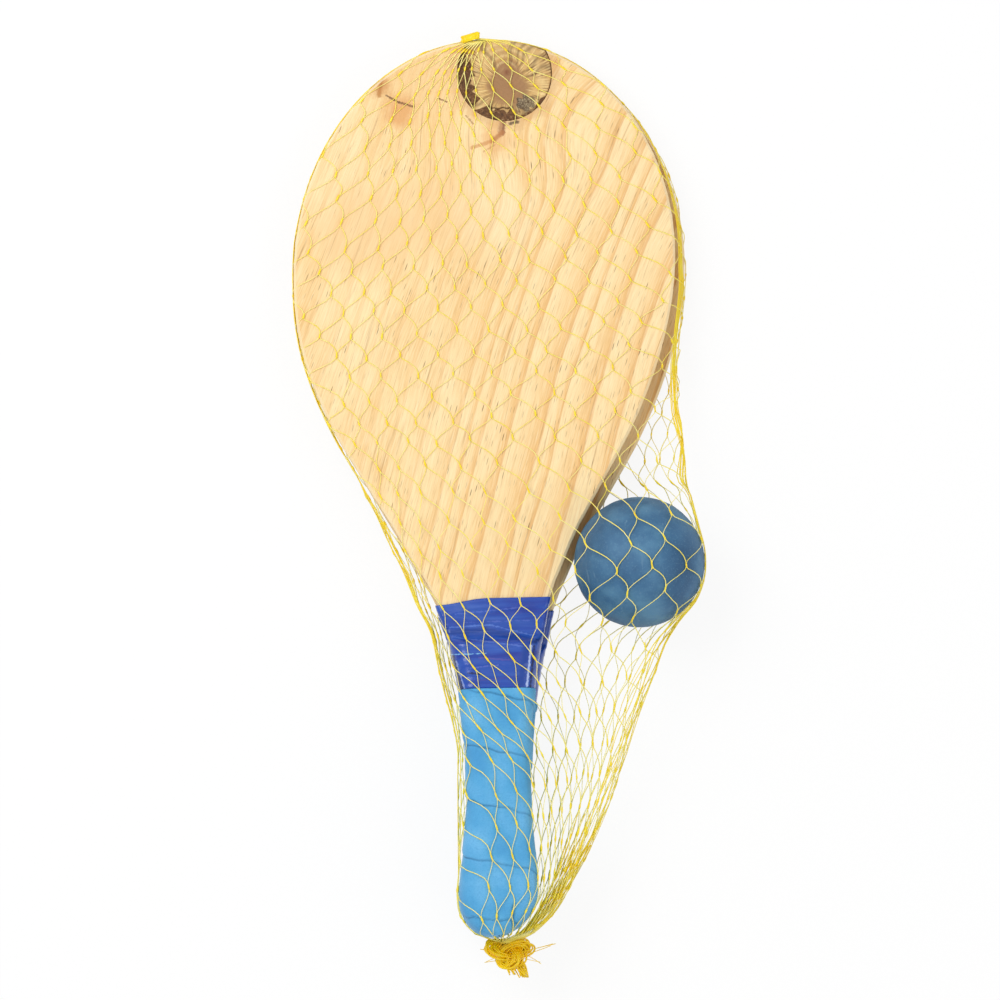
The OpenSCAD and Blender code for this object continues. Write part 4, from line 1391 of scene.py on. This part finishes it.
@dataclass
class Ball:
    """The hollow rubber ball, with its faint moulding line and knocks."""

    centre: tuple[float, float, float] = (59.857, -26.744, 30.4)
    radius: float = 28.5
    cuts: int = 46
    line_way: tuple[float, float, float] = (0.5, -0.3, 0.81)
    line_h: float = 0.1
    line_w: float = 1.1
    dent_h: float = 0.04
    knocks: int = 14
    knock_h: float = 0.12

    def build(self, material: Material) -> None:
        """Builds the ball from six bowed faces of a box.

        Args:
            material: The rubber.
        """
        n = self.cuts
        span = np.tan(np.linspace(-math.pi / 4, math.pi / 4, n + 1))
        points, faces = [], []
        for axis in range(3):
            for sign in (-1, 1):
                first = len(points)
                for u in span:
                    for v in span:
                        p = [0.0, 0.0, 0.0]
                        p[axis], p[(axis + 1) % 3], p[(axis + 2) % 3] = sign, u * sign, v
                        points.append(p)
                corners = [first + i * (n + 1) + k for i in range(n) for k in range(n)]
                faces += [(a, a + n + 1, a + n + 2, a + 1) for a in corners]
        way = unit(np.array(points))
        rng = np.random.default_rng(5)
        height = self.line_h * np.exp(-((way @ unit(np.array(self.line_way))) * self.radius / self.line_w) ** 2)
        height += self.dent_h * wobble(way * self.radius, 6.0, 3)
        for _ in range(self.knocks):
            off = np.arccos(np.clip(way @ unit(rng.normal(size=3)), -1, 1)) * self.radius
            height -= self.knock_h * np.exp(-(off / rng.uniform(0.8, 2.2)) ** 2)
        placed = way * (self.radius - self.line_h + height)[:, None] + np.array(self.centre)
        piece = mesh_piece("rubber_ball", placed, faces, material)
        merge_points(piece, 0.02)
        assign(piece, "ball", Body.BALL)


@dataclass
class NetForm:
    """The net's surface: sections stretched round the load, with the net's columns spaced on them."""

    ball: Ball
    columns: int = 26
    sub: int = 6
    samples: int = 8
    clear: float = 0.5
    floor: float = 0.5
    # Lowest height of a strand's middle, at which no joint dips into the floor
    lowest: float = 0.5405
    load: tuple[float, float] = (-186.6, 202.1)
    tip: float = 202.2
    neck: tuple[float, float, float] = (-0.815, -191.3, 29.73)
    neck_r: float = 4.2
    seal: tuple[float, float, float] = (-8.9, 203.6, 16.4)
    # The plane between the two paddles: a place on it and its fall toward the tip
    split_y: float = -67.5
    split_z: float = 23.04
    split_fall: float = 0.0552
    # How far past the ball the bulge over it runs out, and how much the columns under the set crowd
    bulge_l: float = 130.0
    crowding: float = 0.06
    # Places of the first and last rows, and of the rows' spacing, in millimetres
    first_row: float = 197.0
    last_rows: tuple[float, float] = (-176.0, -187.0)
    spacings: tuple = ((-190.0, 13.5), (-56.0, 13.5), (-42.0, 12.0), (18.0, 12.0), (32.0, 9.6), (104.0, 9.6),
                       (120.0, 10.9), (172.0, 10.9), (200.0, 8.0))
    # The net's reach to the right and to the left
    rights: tuple = ((-190.0, 6.0), (-179.5, 17.6), (-166.5, 26.2), (-146.8, 37.0), (-120.7, 48.0),
                     (-94.6, 56.9), (-75.5, 64.7), (-62.5, 69.8), (-49.6, 77.9), (-36.6, 85.6), (-27.0, 87.9),
                     (-15.9, 86.8), (-2.9, 83.7), (10.1, 80.9), (49.0, 78.7), (75.0, 80.1), (94.0, 81.8),
                     (104.0, 80.5))
    lefts: tuple = ((-186.0, -16.5), (-179.0, -20.0), (-172.0, -21.3), (-120.0, -21.2), (-107.0, -20.8),
                    (-94.0, -23.0), (-81.0, -26.2), (-68.0, -28.9), (-55.0, -31.3), (-42.0, -37.9),
                    (-29.0, -42.8), (-16.0, -49.1), (-3.0, -54.5), (10.0, -60.3))
    # Place along the set, and the share of a side's width that each tenth of its columns has reached
    warps: tuple = (
        (-186.0, 0.0, 0.2, 0.42, 0.62, 0.75, 0.82, 0.87, 0.91, 0.94, 0.97, 1.0),
        (-170.0, 0.0, 0.25, 0.5, 0.69, 0.76, 0.81, 0.85, 0.89, 0.93, 0.965, 1.0),
        (-150.0, 0.0, 0.21, 0.41, 0.57, 0.65, 0.71, 0.77, 0.83, 0.885, 0.94, 1.0),
        (-120.0, 0.0, 0.16, 0.31, 0.45, 0.54, 0.62, 0.7, 0.78, 0.855, 0.93, 1.0),
        (-90.0, 0.0, 0.06, 0.14, 0.25, 0.37, 0.49, 0.59, 0.69, 0.79, 0.895, 1.0),
        (-60.0, 0.0, 0.03, 0.07, 0.15, 0.25, 0.36, 0.47, 0.6, 0.73, 0.865, 1.0),
        (-30.0, 0.0, 0.038, 0.087, 0.162, 0.289, 0.418, 0.553, 0.691, 0.831, 0.942, 1.0),
        (16.0, 0.0, 0.05, 0.11, 0.19, 0.28, 0.39, 0.53, 0.66, 0.78, 0.89, 1.0),
        (60.0, 0.0, 0.075, 0.155, 0.245, 0.35, 0.455, 0.56, 0.66, 0.765, 0.88, 1.0),
        (150.0, 0.0, 0.11, 0.22, 0.31, 0.38, 0.45, 0.53, 0.64, 0.76, 0.88, 1.0),
        (176.0, 0.0, 0.13, 0.23, 0.3, 0.35, 0.4, 0.46, 0.56, 0.7, 0.85, 1.0),
        (194.0, 0.0, 0.14, 0.24, 0.3, 0.34, 0.38, 0.43, 0.5, 0.62, 0.8, 1.0),
    )
    # Columns at the left and right outline, at places along the set
    edges: tuple = ((-186.0, -4.4, 8.6), (-120.0, -2.6, 9.0), (-60.0, -0.5, 10.0), (-36.0, 0.0, 10.6),
                    (0.0, 0.0, 10.5), (60.0, 0.0, 10.0), (140.0, -2.0, 12.0), (200.0, -2.0, 12.0))

    def gather(self, frame: dict[str, Any]) -> None:
        """Reads the edges of what the net holds.

        Args:
            frame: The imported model.
        """
        starts, ends = [], []
        for name, node in frame["nodes"].items():
            if name.startswith("net_"):
                continue
            mesh = node.data
            co = np.empty(len(mesh.vertices) * 3)
            mesh.vertices.foreach_get("co", co)
            co = co.reshape(-1, 3) / MM
            pairs = np.empty(len(mesh.edges) * 2, int)
            mesh.edges.foreach_get("vertices", pairs)
            starts.append(co[pairs[::2]])
            ends.append(co[pairs[1::2]])
        self.starts = np.concatenate(starts)
        self.ends = np.concatenate(ends)

    def cut(self, y: float) -> np.ndarray:
        """Cuts the load across.

        Args:
            y: The place of the cut.

        Returns:
            The cut edges' points, x and z.
        """
        y = min(max(y, self.load[0]), self.load[1])
        a, b = self.starts, self.ends
        across = (a[:, 1] - y) * (b[:, 1] - y) < 0
        a, b = a[across], b[across]
        t = ((y - a[:, 1]) / (b[:, 1] - a[:, 1]))[:, None]
        return (a + (b - a) * t)[:, (0, 2)]

    def middle(self, y: float) -> float:
        """Gives the height of the middle between the two boards at y."""
        return self.split_z - (y - self.split_y) * self.split_fall

    def bulge(self, y: float) -> np.ndarray:
        """Gives the net's round right side at y, which bulges over the ball and narrows to the neck.

        Args:
            y: The place along the set.

        Returns:
            Points on it, x and z.
        """
        ball_y, ball_z = self.ball.centre[1:]
        down = max(0.0, (ball_y - y) / (ball_y - self.rights[0][0]))
        up = max(0.0, (y - ball_y) / self.bulge_l)
        z = mix(ball_z, self.middle(y), min(1, up * 2)) if up > 0 else mix(ball_z, self.neck[2], down)
        r = 1.0 if up > 0.25 else mix(self.ball.radius * 0.6, self.neck_r, math.sqrt(down))
        turn = np.linspace(0, TURN, 24)
        return np.stack([spline(self.rights, y) - r + r * np.cos(turn), z + r * np.sin(turn)], 1)

    def outline(self, y: float) -> np.ndarray:
        """Stretches the net round the load at one place.

        Args:
            y: The place along the set.

        Returns:
            The corners of the net's section, clockwise seen along +Y.
        """
        ahead = 1.6 if -172 < y < 120 else 0.2
        held = np.concatenate([self.cut(y + d) for d in (-ahead, 0.0, ahead)])
        dots = [held]
        if self.rights[0][0] <= y <= self.rights[-1][0]:
            dots.append(self.bulge(y))
        if self.lefts[0][0] <= y <= self.lefts[-1][0]:
            dots.append(np.array([[spline(self.lefts, y) + self.clear, self.middle(y)]]))
        wide = held[:, 0]
        inner = 11.0 if y < -40 else 1.0
        foot = mix(self.floor + self.clear, self.neck[2] - 14, smooth((-172 - y) / 14))
        dots.append(np.array([[wide.min() + inner, foot], [min(wide.max(), 84.0) - inner, foot]]))
        # Round the grips the net stands a little further off, because it bridges their laps
        off = self.clear * mix(1.0, 1.8, smooth((-35 - y) / 15)) * mix(1.0, 1.4, smooth((-160 - y) / 12))
        turn = turns(16)
        ring = np.stack([np.cos(turn), np.sin(turn)], 1) * off
        cloud = (hull(np.concatenate(dots))[:, None, :] + ring[None]).reshape(-1, 2)
        return hull(cloud)[::-1]

    @staticmethod
    def part(corners: np.ndarray, height: float) -> tuple[np.ndarray, np.ndarray]:
        """Parts the section at a height into its upper and lower sides.

        Args:
            corners: The section's corners, clockwise seen along +Y.
            height: Where the two sides meet.

        Returns:
            The upper side from left to right, and the lower side from right to left.
        """
        height = min(max(height, corners[:, 1].min() + 0.3), corners[:, 1].max() - 0.3)
        following = np.roll(corners, -1, axis=0)
        rising = int(np.argmax((corners[:, 1] <= height) & (following[:, 1] > height)))
        corners = np.roll(corners, -rising, axis=0)
        following = np.roll(corners, -1, axis=0)
        falling = int(np.argmax((corners[:, 1] > height) & (following[:, 1] <= height)))
        ends = []
        for k in (0, falling):
            t = (height - corners[k, 1]) / (following[k, 1] - corners[k, 1])
            ends.append(mix(corners[k], following[k], t)[None])
        left, right = ends
        top = np.concatenate([left, corners[1:falling + 1], right])
        under = np.concatenate([right, corners[falling + 1:], corners[:1], left])
        return top, under

    @staticmethod
    def spaced(line: np.ndarray, shares: np.ndarray, at: np.ndarray) -> np.ndarray:
        """Spaces columns on one side of the section by their shares of its width.

        Args:
            line: The side's corners, from left to right.
            shares: Share of the width that each tenth of the columns has reached.
            at: Where on the side the columns are, from 0 to 1.

        Returns:
            Their points, x and z.
        """
        low, high = int(np.argmin(line[:, 0])), int(np.argmax(line[:, 0]))
        run = run_of(line)
        goals = mix(line[low, 0], line[high, 0], shares[1:-1])
        inner = np.interp(goals, line[low:high + 1, 0], run[low:high + 1])
        reached = np.concatenate([[0.0], inner, [run[-1]]]) / run[-1]
        return along(line, np.clip(np.interp(at, np.linspace(0, 1, len(shares)), reached), 0, 1))

    def ring(self, y: float, at: np.ndarray) -> np.ndarray:
        """Places columns on the net's section.

        Args:
            y: The place along the set.
            at: Column numbers, which start at the left outline and run over the top.

        Returns:
            Their points in the row frame.
        """
        top, under = self.part(self.outline(y), self.middle(y))
        first, last = (float(level(self.edges, y, k)) for k in (1, 2))
        shares = np.array([level(self.warps, y, k) for k in range(1, len(self.warps[0]))])
        on_top = np.mod(at - first, self.columns)
        share = on_top / (last - first)
        # Under the set the columns crowd toward the two rims
        under_share = (on_top - (last - first)) / (self.columns - (last - first))
        under_share = under_share - self.crowding * np.sin(under_share * TURN)
        above = self.spaced(top, shares, share)
        below = self.spaced(under[::-1], shares, 1 - under_share)
        flat = np.where((share <= 1)[:, None], above, below)
        return xyz(flat[:, 0], y, flat[:, 1])

    def stretch(self, frame: dict[str, Any]) -> None:
        """Works out the net's surface round the load, on a fine grid of stations and columns.

        Args:
            frame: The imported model.
        """
        self.gather(frame)
        rows = [self.first_row]
        while rows[-1] > self.last_rows[0]:
            rows.append(rows[-1] - float(level(self.spacings, rows[-1])))
        rows.append(self.last_rows[1])
        fine = [s for a, b in zip(rows, rows[1:]) for s in np.linspace(a, b, self.sub, endpoint=False)]
        self.stations = fine + [rows[-1]]
        at = np.arange(self.columns * self.samples) / self.samples
        grid = np.stack([self.ring(y, at) for y in self.stations])
        for _ in range(2):
            grid[1:-1] = grid[1:-1] * 0.5 + (grid[:-2] + grid[2:]) * 0.25
        grid[..., 2] = np.maximum(grid[..., 2], self.lowest)
        # The tube ends: it draws in to the seal at the tips and to the tied neck at the butts
        turn = np.mod(at / self.columns + 0.02, 1) * TURN
        seal_ring = np.array(self.seal) + xyz(-np.cos(turn) * 2.6, -1.0, np.sin(turn) - 1.0)
        neck_ring = np.array(self.neck) + xyz(-np.cos(turn) * 3.6, 0.0, np.sin(turn) * 3.2)
        shares = np.arange(1, self.sub + 1) / self.sub
        head = [seal_ring] + [self.ring(mix(self.tip, grid[0][0, 1], s ** 1.7), at) for s in shares[:-1]]
        foot = [mix(grid[-1], neck_ring, s) for s in shares]
        self.grid = np.concatenate([np.stack(head), grid, np.stack(foot)])
        self.rows = len(rows) + 2

    def at(self, station: np.ndarray, column: np.ndarray) -> np.ndarray:
        """Reads the surface between its grid points.

        Args:
            station: Station numbers.
            column: Column numbers.

        Returns:
            Points in the row frame.
        """
        g, n = self.grid, self.columns * self.samples
        k = np.clip(station, 0, len(g) - 1.001)
        m = np.mod(column, self.columns) * self.samples
        k0, m0 = np.floor(k).astype(int), np.floor(m).astype(int)
        past_k, past_m = (k - k0)[..., None], (m - m0)[..., None]
        near = mix(g[k0, m0 % n], g[k0, (m0 + 1) % n], past_m)
        far = mix(g[k0 + 1, m0 % n], g[k0 + 1, (m0 + 1) % n], past_m)
        return mix(near, far, past_k)


@dataclass
class NetBag:
    """The net tube round the set: strands that meet in drawn joints, the seal, the tied knot and its tail."""

    form: NetForm
    strand: Material
    joint: Material
    bunch: Material
    strand_a: float = 0.21
    strand_b: float = 0.15
    joint_r: float = 0.47
    rim_r: float = 0.24
    # Share of the way to the next column at each step of a leg, for the legs to the right and to the left
    flow_a: tuple = (0.0, 0.07, 0.4, 0.68, 0.87, 0.96, 1.0)
    flow_b: tuple = (0.0, 0.04, 0.24, 0.5, 0.76, 0.96, 1.0)
    joint_shape: tuple = (0.35, 0.8, 1.0, 0.85, 0.4)
    # How far the rows rise from the left outline to the right one
    rises: tuple = ((-180.0, 14.0), (-60.0, 11.0), (-20.0, 3.0), (60.0, 3.0), (120.0, 8.0), (160.0, 10.0),
                    (196.0, 0.0))
    # How many columns the loose cords spread over at the left rim and at the right one
    cords: tuple = ((-187.0, 0.5, 2.4), (-120.0, 0.4, 1.6), (-40.0, 0.3, 0.5), (20.0, 0.3, 0.28),
                    (140.0, 0.12, 0.26), (170.0, 0.2, 0.1), (190.0, 0.12, 0.12), (203.0, 0.15, 0.15))
    knot_y: float = -194.8
    # Bunches of the tail: end from the neck, strands, how loose they are, and their radius
    tips: tuple = (((7.2, -206.0, -1.0), 18, 0.8, 0.34), ((19.5, -192.0, 1.0), 3, 0.5, 0.16),
                   ((-11.5, -194.0, 0.0), 2, 0.5, 0.14), ((-10.3, -200.0, -1.0), 2, 0.5, 0.14),
                   ((14.0, -199.7, 0.5), 2, 0.5, 0.14), ((2.0, -204.0, 1.0), 6, 1.0, 0.3))
    tilt_deg: float = 3.16
    give: float = 4.5

    def build(self) -> None:
        """Builds the whole bag."""
        self.weave()
        self.draw_cords()
        rng = np.random.default_rng(7)
        self.tie(rng)
        self.cut_tail(rng)
        self.gather_slack()
        self.melt()

    def bend(self, piece: Piece) -> None:
        """Bakes a net piece's placement into its points."""
        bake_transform(piece)

    def tubes(self, name: str, routes: list[np.ndarray], radii: list[np.ndarray], sides: int,
              material: Material) -> Piece:
        """Makes a piece of tubes along routes on the net's surface.

        Args:
            name: The piece's name.
            routes: Each tube's route.
            radii: Each tube's radius along its route.
            sides: How many sides a tube has.
            material: Its material.

        Returns:
            The piece.
        """
        paths = np.stack(routes)
        from_axis = paths - xyz(paths[..., 0] * 0.85, paths[..., 1], 20.0)
        return mesh_piece(name, *swept(paths, unit(from_axis), np.stack(radii), sides), material)

    def bundle(self, name: str, routes: list[np.ndarray], radii: list[float], sides: int,
               beside: tuple[float, float, float] = (0.1, 0.1, 1.0)) -> Piece:
        """Makes a piece of bunched filaments off the net's surface.

        Args:
            name: The piece's name.
            routes: Each filament's route.
            radii: Each filament's radius.
            sides: How many sides a filament has.
            beside: A direction that no filament follows.

        Returns:
            The piece.
        """
        paths = np.stack(routes)
        thick = np.broadcast_to(np.array(radii)[:, None], paths.shape[:2])
        return mesh_piece(name, *swept(paths, np.array(beside), thick, sides), self.bunch)

    def drifts(self, rng: np.random.Generator) -> np.ndarray:
        """Moves each joint off its even place, and lets the rows rise from left to right.

        Args:
            rng: The source of the small random moves.

        Returns:
            Moves in columns and stations, by row and column.
        """
        form = self.form
        drift = rng.uniform(-1, 1, (form.rows, form.columns, 2)) * (0.09, 0.7)
        for j in range(form.rows):
            y = form.stations[min(max(j * form.sub - form.sub, 0), len(form.stations) - 1)]
            low, high = (level(form.edges, y, k) for k in (1, 2))
            c = np.mod(np.arange(form.columns) + (j % 2) / 2 - low, form.columns)
            back = 1 - (c - high + low) / (form.columns - high + low)
            over = np.where(c <= high - low, c / (high - low), back)
            drift[j, :, 1] -= (over - 0.4) * level(self.rises, y) / level(form.spacings, y) * form.sub
        drift[0] = drift[-1] = 0
        return drift

    def weave(self) -> None:
        """Draws the strands and their joints."""
        form = self.form
        rng = np.random.default_rng(23)
        drift = self.drifts(rng)
        steps = np.arange(form.sub + 1) / form.sub
        legs, leg_radii, bars, bar_radii = [], [], [], []
        for j in range(form.rows - 1):
            for c in range(form.columns):
                here = c + (j % 2) / 2
                for way, flow, thick in ((0.5, self.flow_a, self.strand_a), (-0.5, self.flow_b, self.strand_b)):
                    there = int(round(here + way - ((j + 1) % 2) / 2)) % form.columns
                    move = mix(drift[j, c], drift[j + 1, there], steps[:, None])
                    column = here + way * np.array(flow) + move[:, 0]
                    legs.append(form.at((j + steps) * form.sub + move[:, 1], column))
                    leg_radii.append(np.full(len(steps), thick))
        for j in range(1, form.rows - 1):
            for c in range(form.columns):
                here = c + (j % 2) / 2 + drift[j, c, 0]
                reach = np.linspace(-0.8, 0.8, len(self.joint_shape)) * rng.uniform(0.75, 1.2)
                bars.append(form.at(j * form.sub + drift[j, c, 1] + reach, here + reach * 0.012))
                bar_radii.append(np.array(self.joint_shape) * self.joint_r * rng.uniform(0.8, 1.1))
        strands = self.tubes("net_strands", legs, leg_radii, 5, self.strand)
        assign(strands, "net_bag")
        joints = self.tubes("net_joints", bars, bar_radii, 7, self.joint)
        assign(joints)
        for piece in (strands, joints):
            self.bend(piece)

    def draw_cords(self) -> None:
        """Draws the slack of the tube, which gathers into loose cords of strands along both rims."""
        form = self.form
        rng = np.random.default_rng(41)
        stations = np.linspace(0.15, len(form.grid) - 1.2, 150)
        heights = form.at(stations, np.zeros(len(stations)))[:, 1]
        # The cords fan out beside the handles, so each one looks thinner there
        thin = mix(0.6, 1.0, smooth((heights + 150) / 90))
        routes, radii = [], []
        for side, inward, count in ((2, -1.0, 9), (1, 1.0, 5)):
            rim = level(form.edges, heights, side)
            spread = level(self.cords, heights, side)
            for _ in range(count):
                wave = wobble(heights[:, None], 110.0, int(rng.integers(0, 999))) * 0.2
                offset = (rng.uniform(-0.1, 1.0) + wave) * spread * inward
                routes.append(form.at(stations, rim + offset))
                radii.append(self.rim_r * thin * rng.uniform(0.7, 1.15))
        cords = self.tubes("net_edge_cords", routes, radii, 5, self.joint)
        assign(cords)
        self.bend(cords)

    def knot_middle(self) -> np.ndarray:
        """Gives the middle of the tied knot."""
        return np.array([self.form.neck[0] + 0.8, self.knot_y, self.form.neck[2]])

    def tie(self, rng: np.random.Generator) -> None:
        """Ties the bunched strands in an overhand knot.

        Args:
            rng: The source of the filaments' small differences.
        """
        t = np.linspace(0, 1, 64)
        a = t * TURN
        loop = xyz(np.sin(a) + 2 * np.sin(2 * a), np.cos(a) - 2 * np.cos(2 * a), -np.sin(3 * a))
        routes, radii = [], []
        for _ in range(30):
            spread = rng.normal(size=3) * (1.2, 0.9, 0.9)
            scale = np.array([3.0, 2.1, 1.9]) * rng.uniform(0.7, 1.12)
            wild = np.stack([wobble(t[:, None] * 40, 18.0, int(s)) for s in rng.integers(0, 999, 3)], 1) * 0.5
            route = self.knot_middle() + loop * scale + spread + wild
            route[:, 1] = np.clip(route[:, 1], -203.6, -189.4)
            routes.append(route)
            radii.append(rng.uniform(0.26, 0.46))
        knot = self.bundle("net_tied_knot", routes, radii, 6, beside=(0.1, 0.2, 1.0))
        assign(knot, "net_knot", Body.BAG)

    def cut_tail(self, rng: np.random.Generator) -> None:
        """Draws the bunch of cut ends past the knot.

        Args:
            rng: The source of the filaments' small differences.
        """
        t = np.linspace(0, 1, 12)
        routes, radii = [], []
        for (dx, end_y, dz), count, loose, thick in self.tips:
            for _ in range(count):
                start = self.knot_middle() + rng.normal(size=3) * (1.6, 1.0, 1.2) + (2.0, -1.0, 0.0)
                end = np.array([self.form.neck[0] + dx, end_y, self.form.neck[2] + dz])
                goal = end + rng.normal(size=3) * loose
                goal[1] = max(goal[1], -206.3)
                bow = np.sin(t * math.pi)
                wave = xyz(bow * rng.normal() * 1.1, 0.0, bow * rng.normal())
                routes.append(start + (goal - start) * t[:, None] + wave)
                radii.append(thick * rng.uniform(0.8, 1.15))
        assign(self.bundle("net_cut_tail", routes, radii, 5), "net_tail", Body.BAG)

    def gather_slack(self) -> None:
        """Draws the slack of the tube together beside the butts, before it enters the knot."""
        form = self.form
        rng = np.random.default_rng(31)
        t = np.linspace(0, 1, 12)
        u = np.clip(t * 1.1, 0, 1)[:, None] ** 1.6
        last_row = len(form.grid) - 1
        routes, radii = [], []
        for k in range(20):
            column = 4.5 + (k % 10) * 0.9
            from_row = last_row - form.sub * int(rng.integers(2, 5)) - form.sub
            near = np.array([5.5, -184.8, form.neck[2] + 1.5]) + rng.normal(size=3) * (1.3, 0.6, 1.6)
            last = np.array([2.5, -191.5, form.neck[2]]) + rng.normal(size=3) * (1.2, 0.6, 1.0)
            laid = form.at(mix(from_row, last_row - 1.0, t), np.full(len(t), column))
            routes.append(laid * (1 - u) ** 2 + near * 2 * u * (1 - u) + last * u ** 2)
            radii.append(rng.uniform(0.18, 0.32))
        slack = self.bundle("net_gathered_slack", routes, radii, 5)
        assign(slack)
        self.bend(slack)

    def melt(self) -> None:
        """Melts the strands together in the seal at the tips."""
        rings, n = 22, 32
        x0, y0, z0 = self.form.seal
        turn = turns(n)
        square = np.sign(np.cos(turn)) * np.abs(np.cos(turn)) ** 0.55
        away = xyz(np.cos(turn), 0.0, np.sin(turn))
        points = []
        for s in np.arange(rings) / (rings - 1):
            r = min(1.0, 0.7 + 3.0 * min(s, 1 - s))
            ring = xyz(x0 + square * 4.0 * r + s * 0.5, y0 - 2.1 + s * 3.3 + 0.75 * square,
                       z0 + np.sin(turn) * 1.25 * r)
            points.append(ring + away * (wobble(ring, 2.6, 4) * 0.3 + 0.15 * np.cos(turn * 9))[:, None])
        seal = mesh_piece("net_melted_seal", np.concatenate(points), tube_faces(rings, n), self.bunch)
        assign(seal, "net_seal")
        self.bend(seal)


@dataclass
class Studio:
    """The white floor, the soft lamps and the camera that looks straight down."""

    view_mm: float = 435.0
    centre_mm: tuple[float, float] = (-0.18, 1.6)
    camera_m: float = 1.2
    roll_deg: float = -1.2528
    floor_mm: float = 6000.0
    world: float = 0.58
    aim: tuple[float, float, float] = (0.0, 0.0, 0.02)
    # Lamps: name, place and size in metres, and watts
    lamps: tuple = (("key_softbox", (-0.55, 0.5, 1.1), 0.9, 8.4), ("fill_softbox", (0.8, -0.5, 1.2), 1.1, 3.78))

    def lay_floor(self) -> None:
        """Lays the white floor, which keeps the set's soft shadow."""
        half = self.floor_mm / 2
        corners = np.array([(-half, -half, 0.0), (half, -half, 0.0), (half, half, 0.0), (-half, half, 0.0)])
        floor = mesh_piece("white_floor", corners, [(0, 1, 2, 3)], FloorFinish().build(), is_smooth=False)

    def hang_lamps(self) -> None:
        """Hangs two large soft lamps and lights the room evenly."""
        for name, place, size, watts in self.lamps:
            lamp = bpy.data.lights.new(name, "AREA")
            lamp.shape = "DISK"
            lamp.size = size
            lamp.energy = watts
            holder = bpy.data.objects.new(name, lamp)
            holder.location = place
            holder.rotation_euler = (Vector(self.aim) - Vector(place)).to_track_quat("-Z", "Y").to_euler()
            bpy.context.scene.collection.objects.link(holder)
        world = bpy.data.worlds.new("soft_room")
        world.use_nodes = True
        tree = world.node_tree
        tree.nodes.clear()
        path = add(tree, "LightPath")
        even = add(tree, "Background", {"Color": WHITE, "Strength": self.world})
        white = add(tree, "Background", {"Color": WHITE, "Strength": 1.0})
        both = add(tree, "MixShader", {0: path.outputs["Is Camera Ray"], 1: even, 2: white})
        add(tree, "OutputWorld", {"Surface": both})
        bpy.context.scene.world = world

    def set_camera(self) -> None:
        """Sets the camera straight above the set, with no perspective."""
        lens = bpy.data.cameras.new("overhead")
        lens.type = "ORTHO"
        lens.ortho_scale = self.view_mm * MM
        camera = bpy.data.objects.new("overhead", lens)
        camera.location = (self.centre_mm[0] * MM, self.centre_mm[1] * MM, self.camera_m)
        camera.rotation_euler = (0.0, 0.0, math.radians(self.roll_deg))
        bpy.context.scene.collection.objects.link(camera)
        bpy.context.scene.camera = camera

    def build(self) -> None:
        """Builds the whole studio."""
        self.set_camera()
        self.lay_floor()
        self.hang_lamps()
        bpy.context.scene.view_settings.view_transform = "Standard"
        LOG.info("built the studio")


def main() -> None:
    """Builds the set piece by piece."""
    logging.basicConfig(level=logging.INFO, format="%(message)s")
    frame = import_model()
    Studio().build()
    front_lie = Lie(tilt=4.74035, height=33.988)
    rear_lie = Lie(tilt=1.58092, height=12.096, turn=1.05, shift=5.5)
    front = Paddle("front", Body.FRONT, front_lie, PaddleShape(), PineFinish("sanded_pine_front"), seed=3)
    rear = Paddle("rear", Body.BAG, rear_lie, PaddleShape(trim=6.5),
                  PineFinish("sanded_pine_rear", offset=(MIDDLE_X + 40, MIDDLE_Y + 60, 0.0),
                             turn=math.radians(1.05), knotty=False), seed=8)
    vinyl = VinylTapeFinish().build()
    foam = FoamTapeFinish().build()
    for paddle in (front, rear):
        paddle.dress(frame)
        paddle.wind_tape(vinyl)
        paddle.wind_grip(foam)
    DeadKnot(front_lie, front.shape).build(DeadKnotFinish().build())
    ball = Ball()
    ball.build(BallRubberFinish().build())
    form = NetForm(ball)
    form.stretch(frame)
    strand = NetStrandFinish("drawn_polyethylene_strand", "fff396", "ffec5e").build()
    joint = NetStrandFinish("fused_polyethylene_joint", "ffe83a", "ffdd1c").build()
    bunch = NetStrandFinish("bunched_polyethylene_strand", "ffdf00", "ffd200").build()
    NetBag(form, strand, joint, bunch).build()


if __name__ == "__main__":
    main()
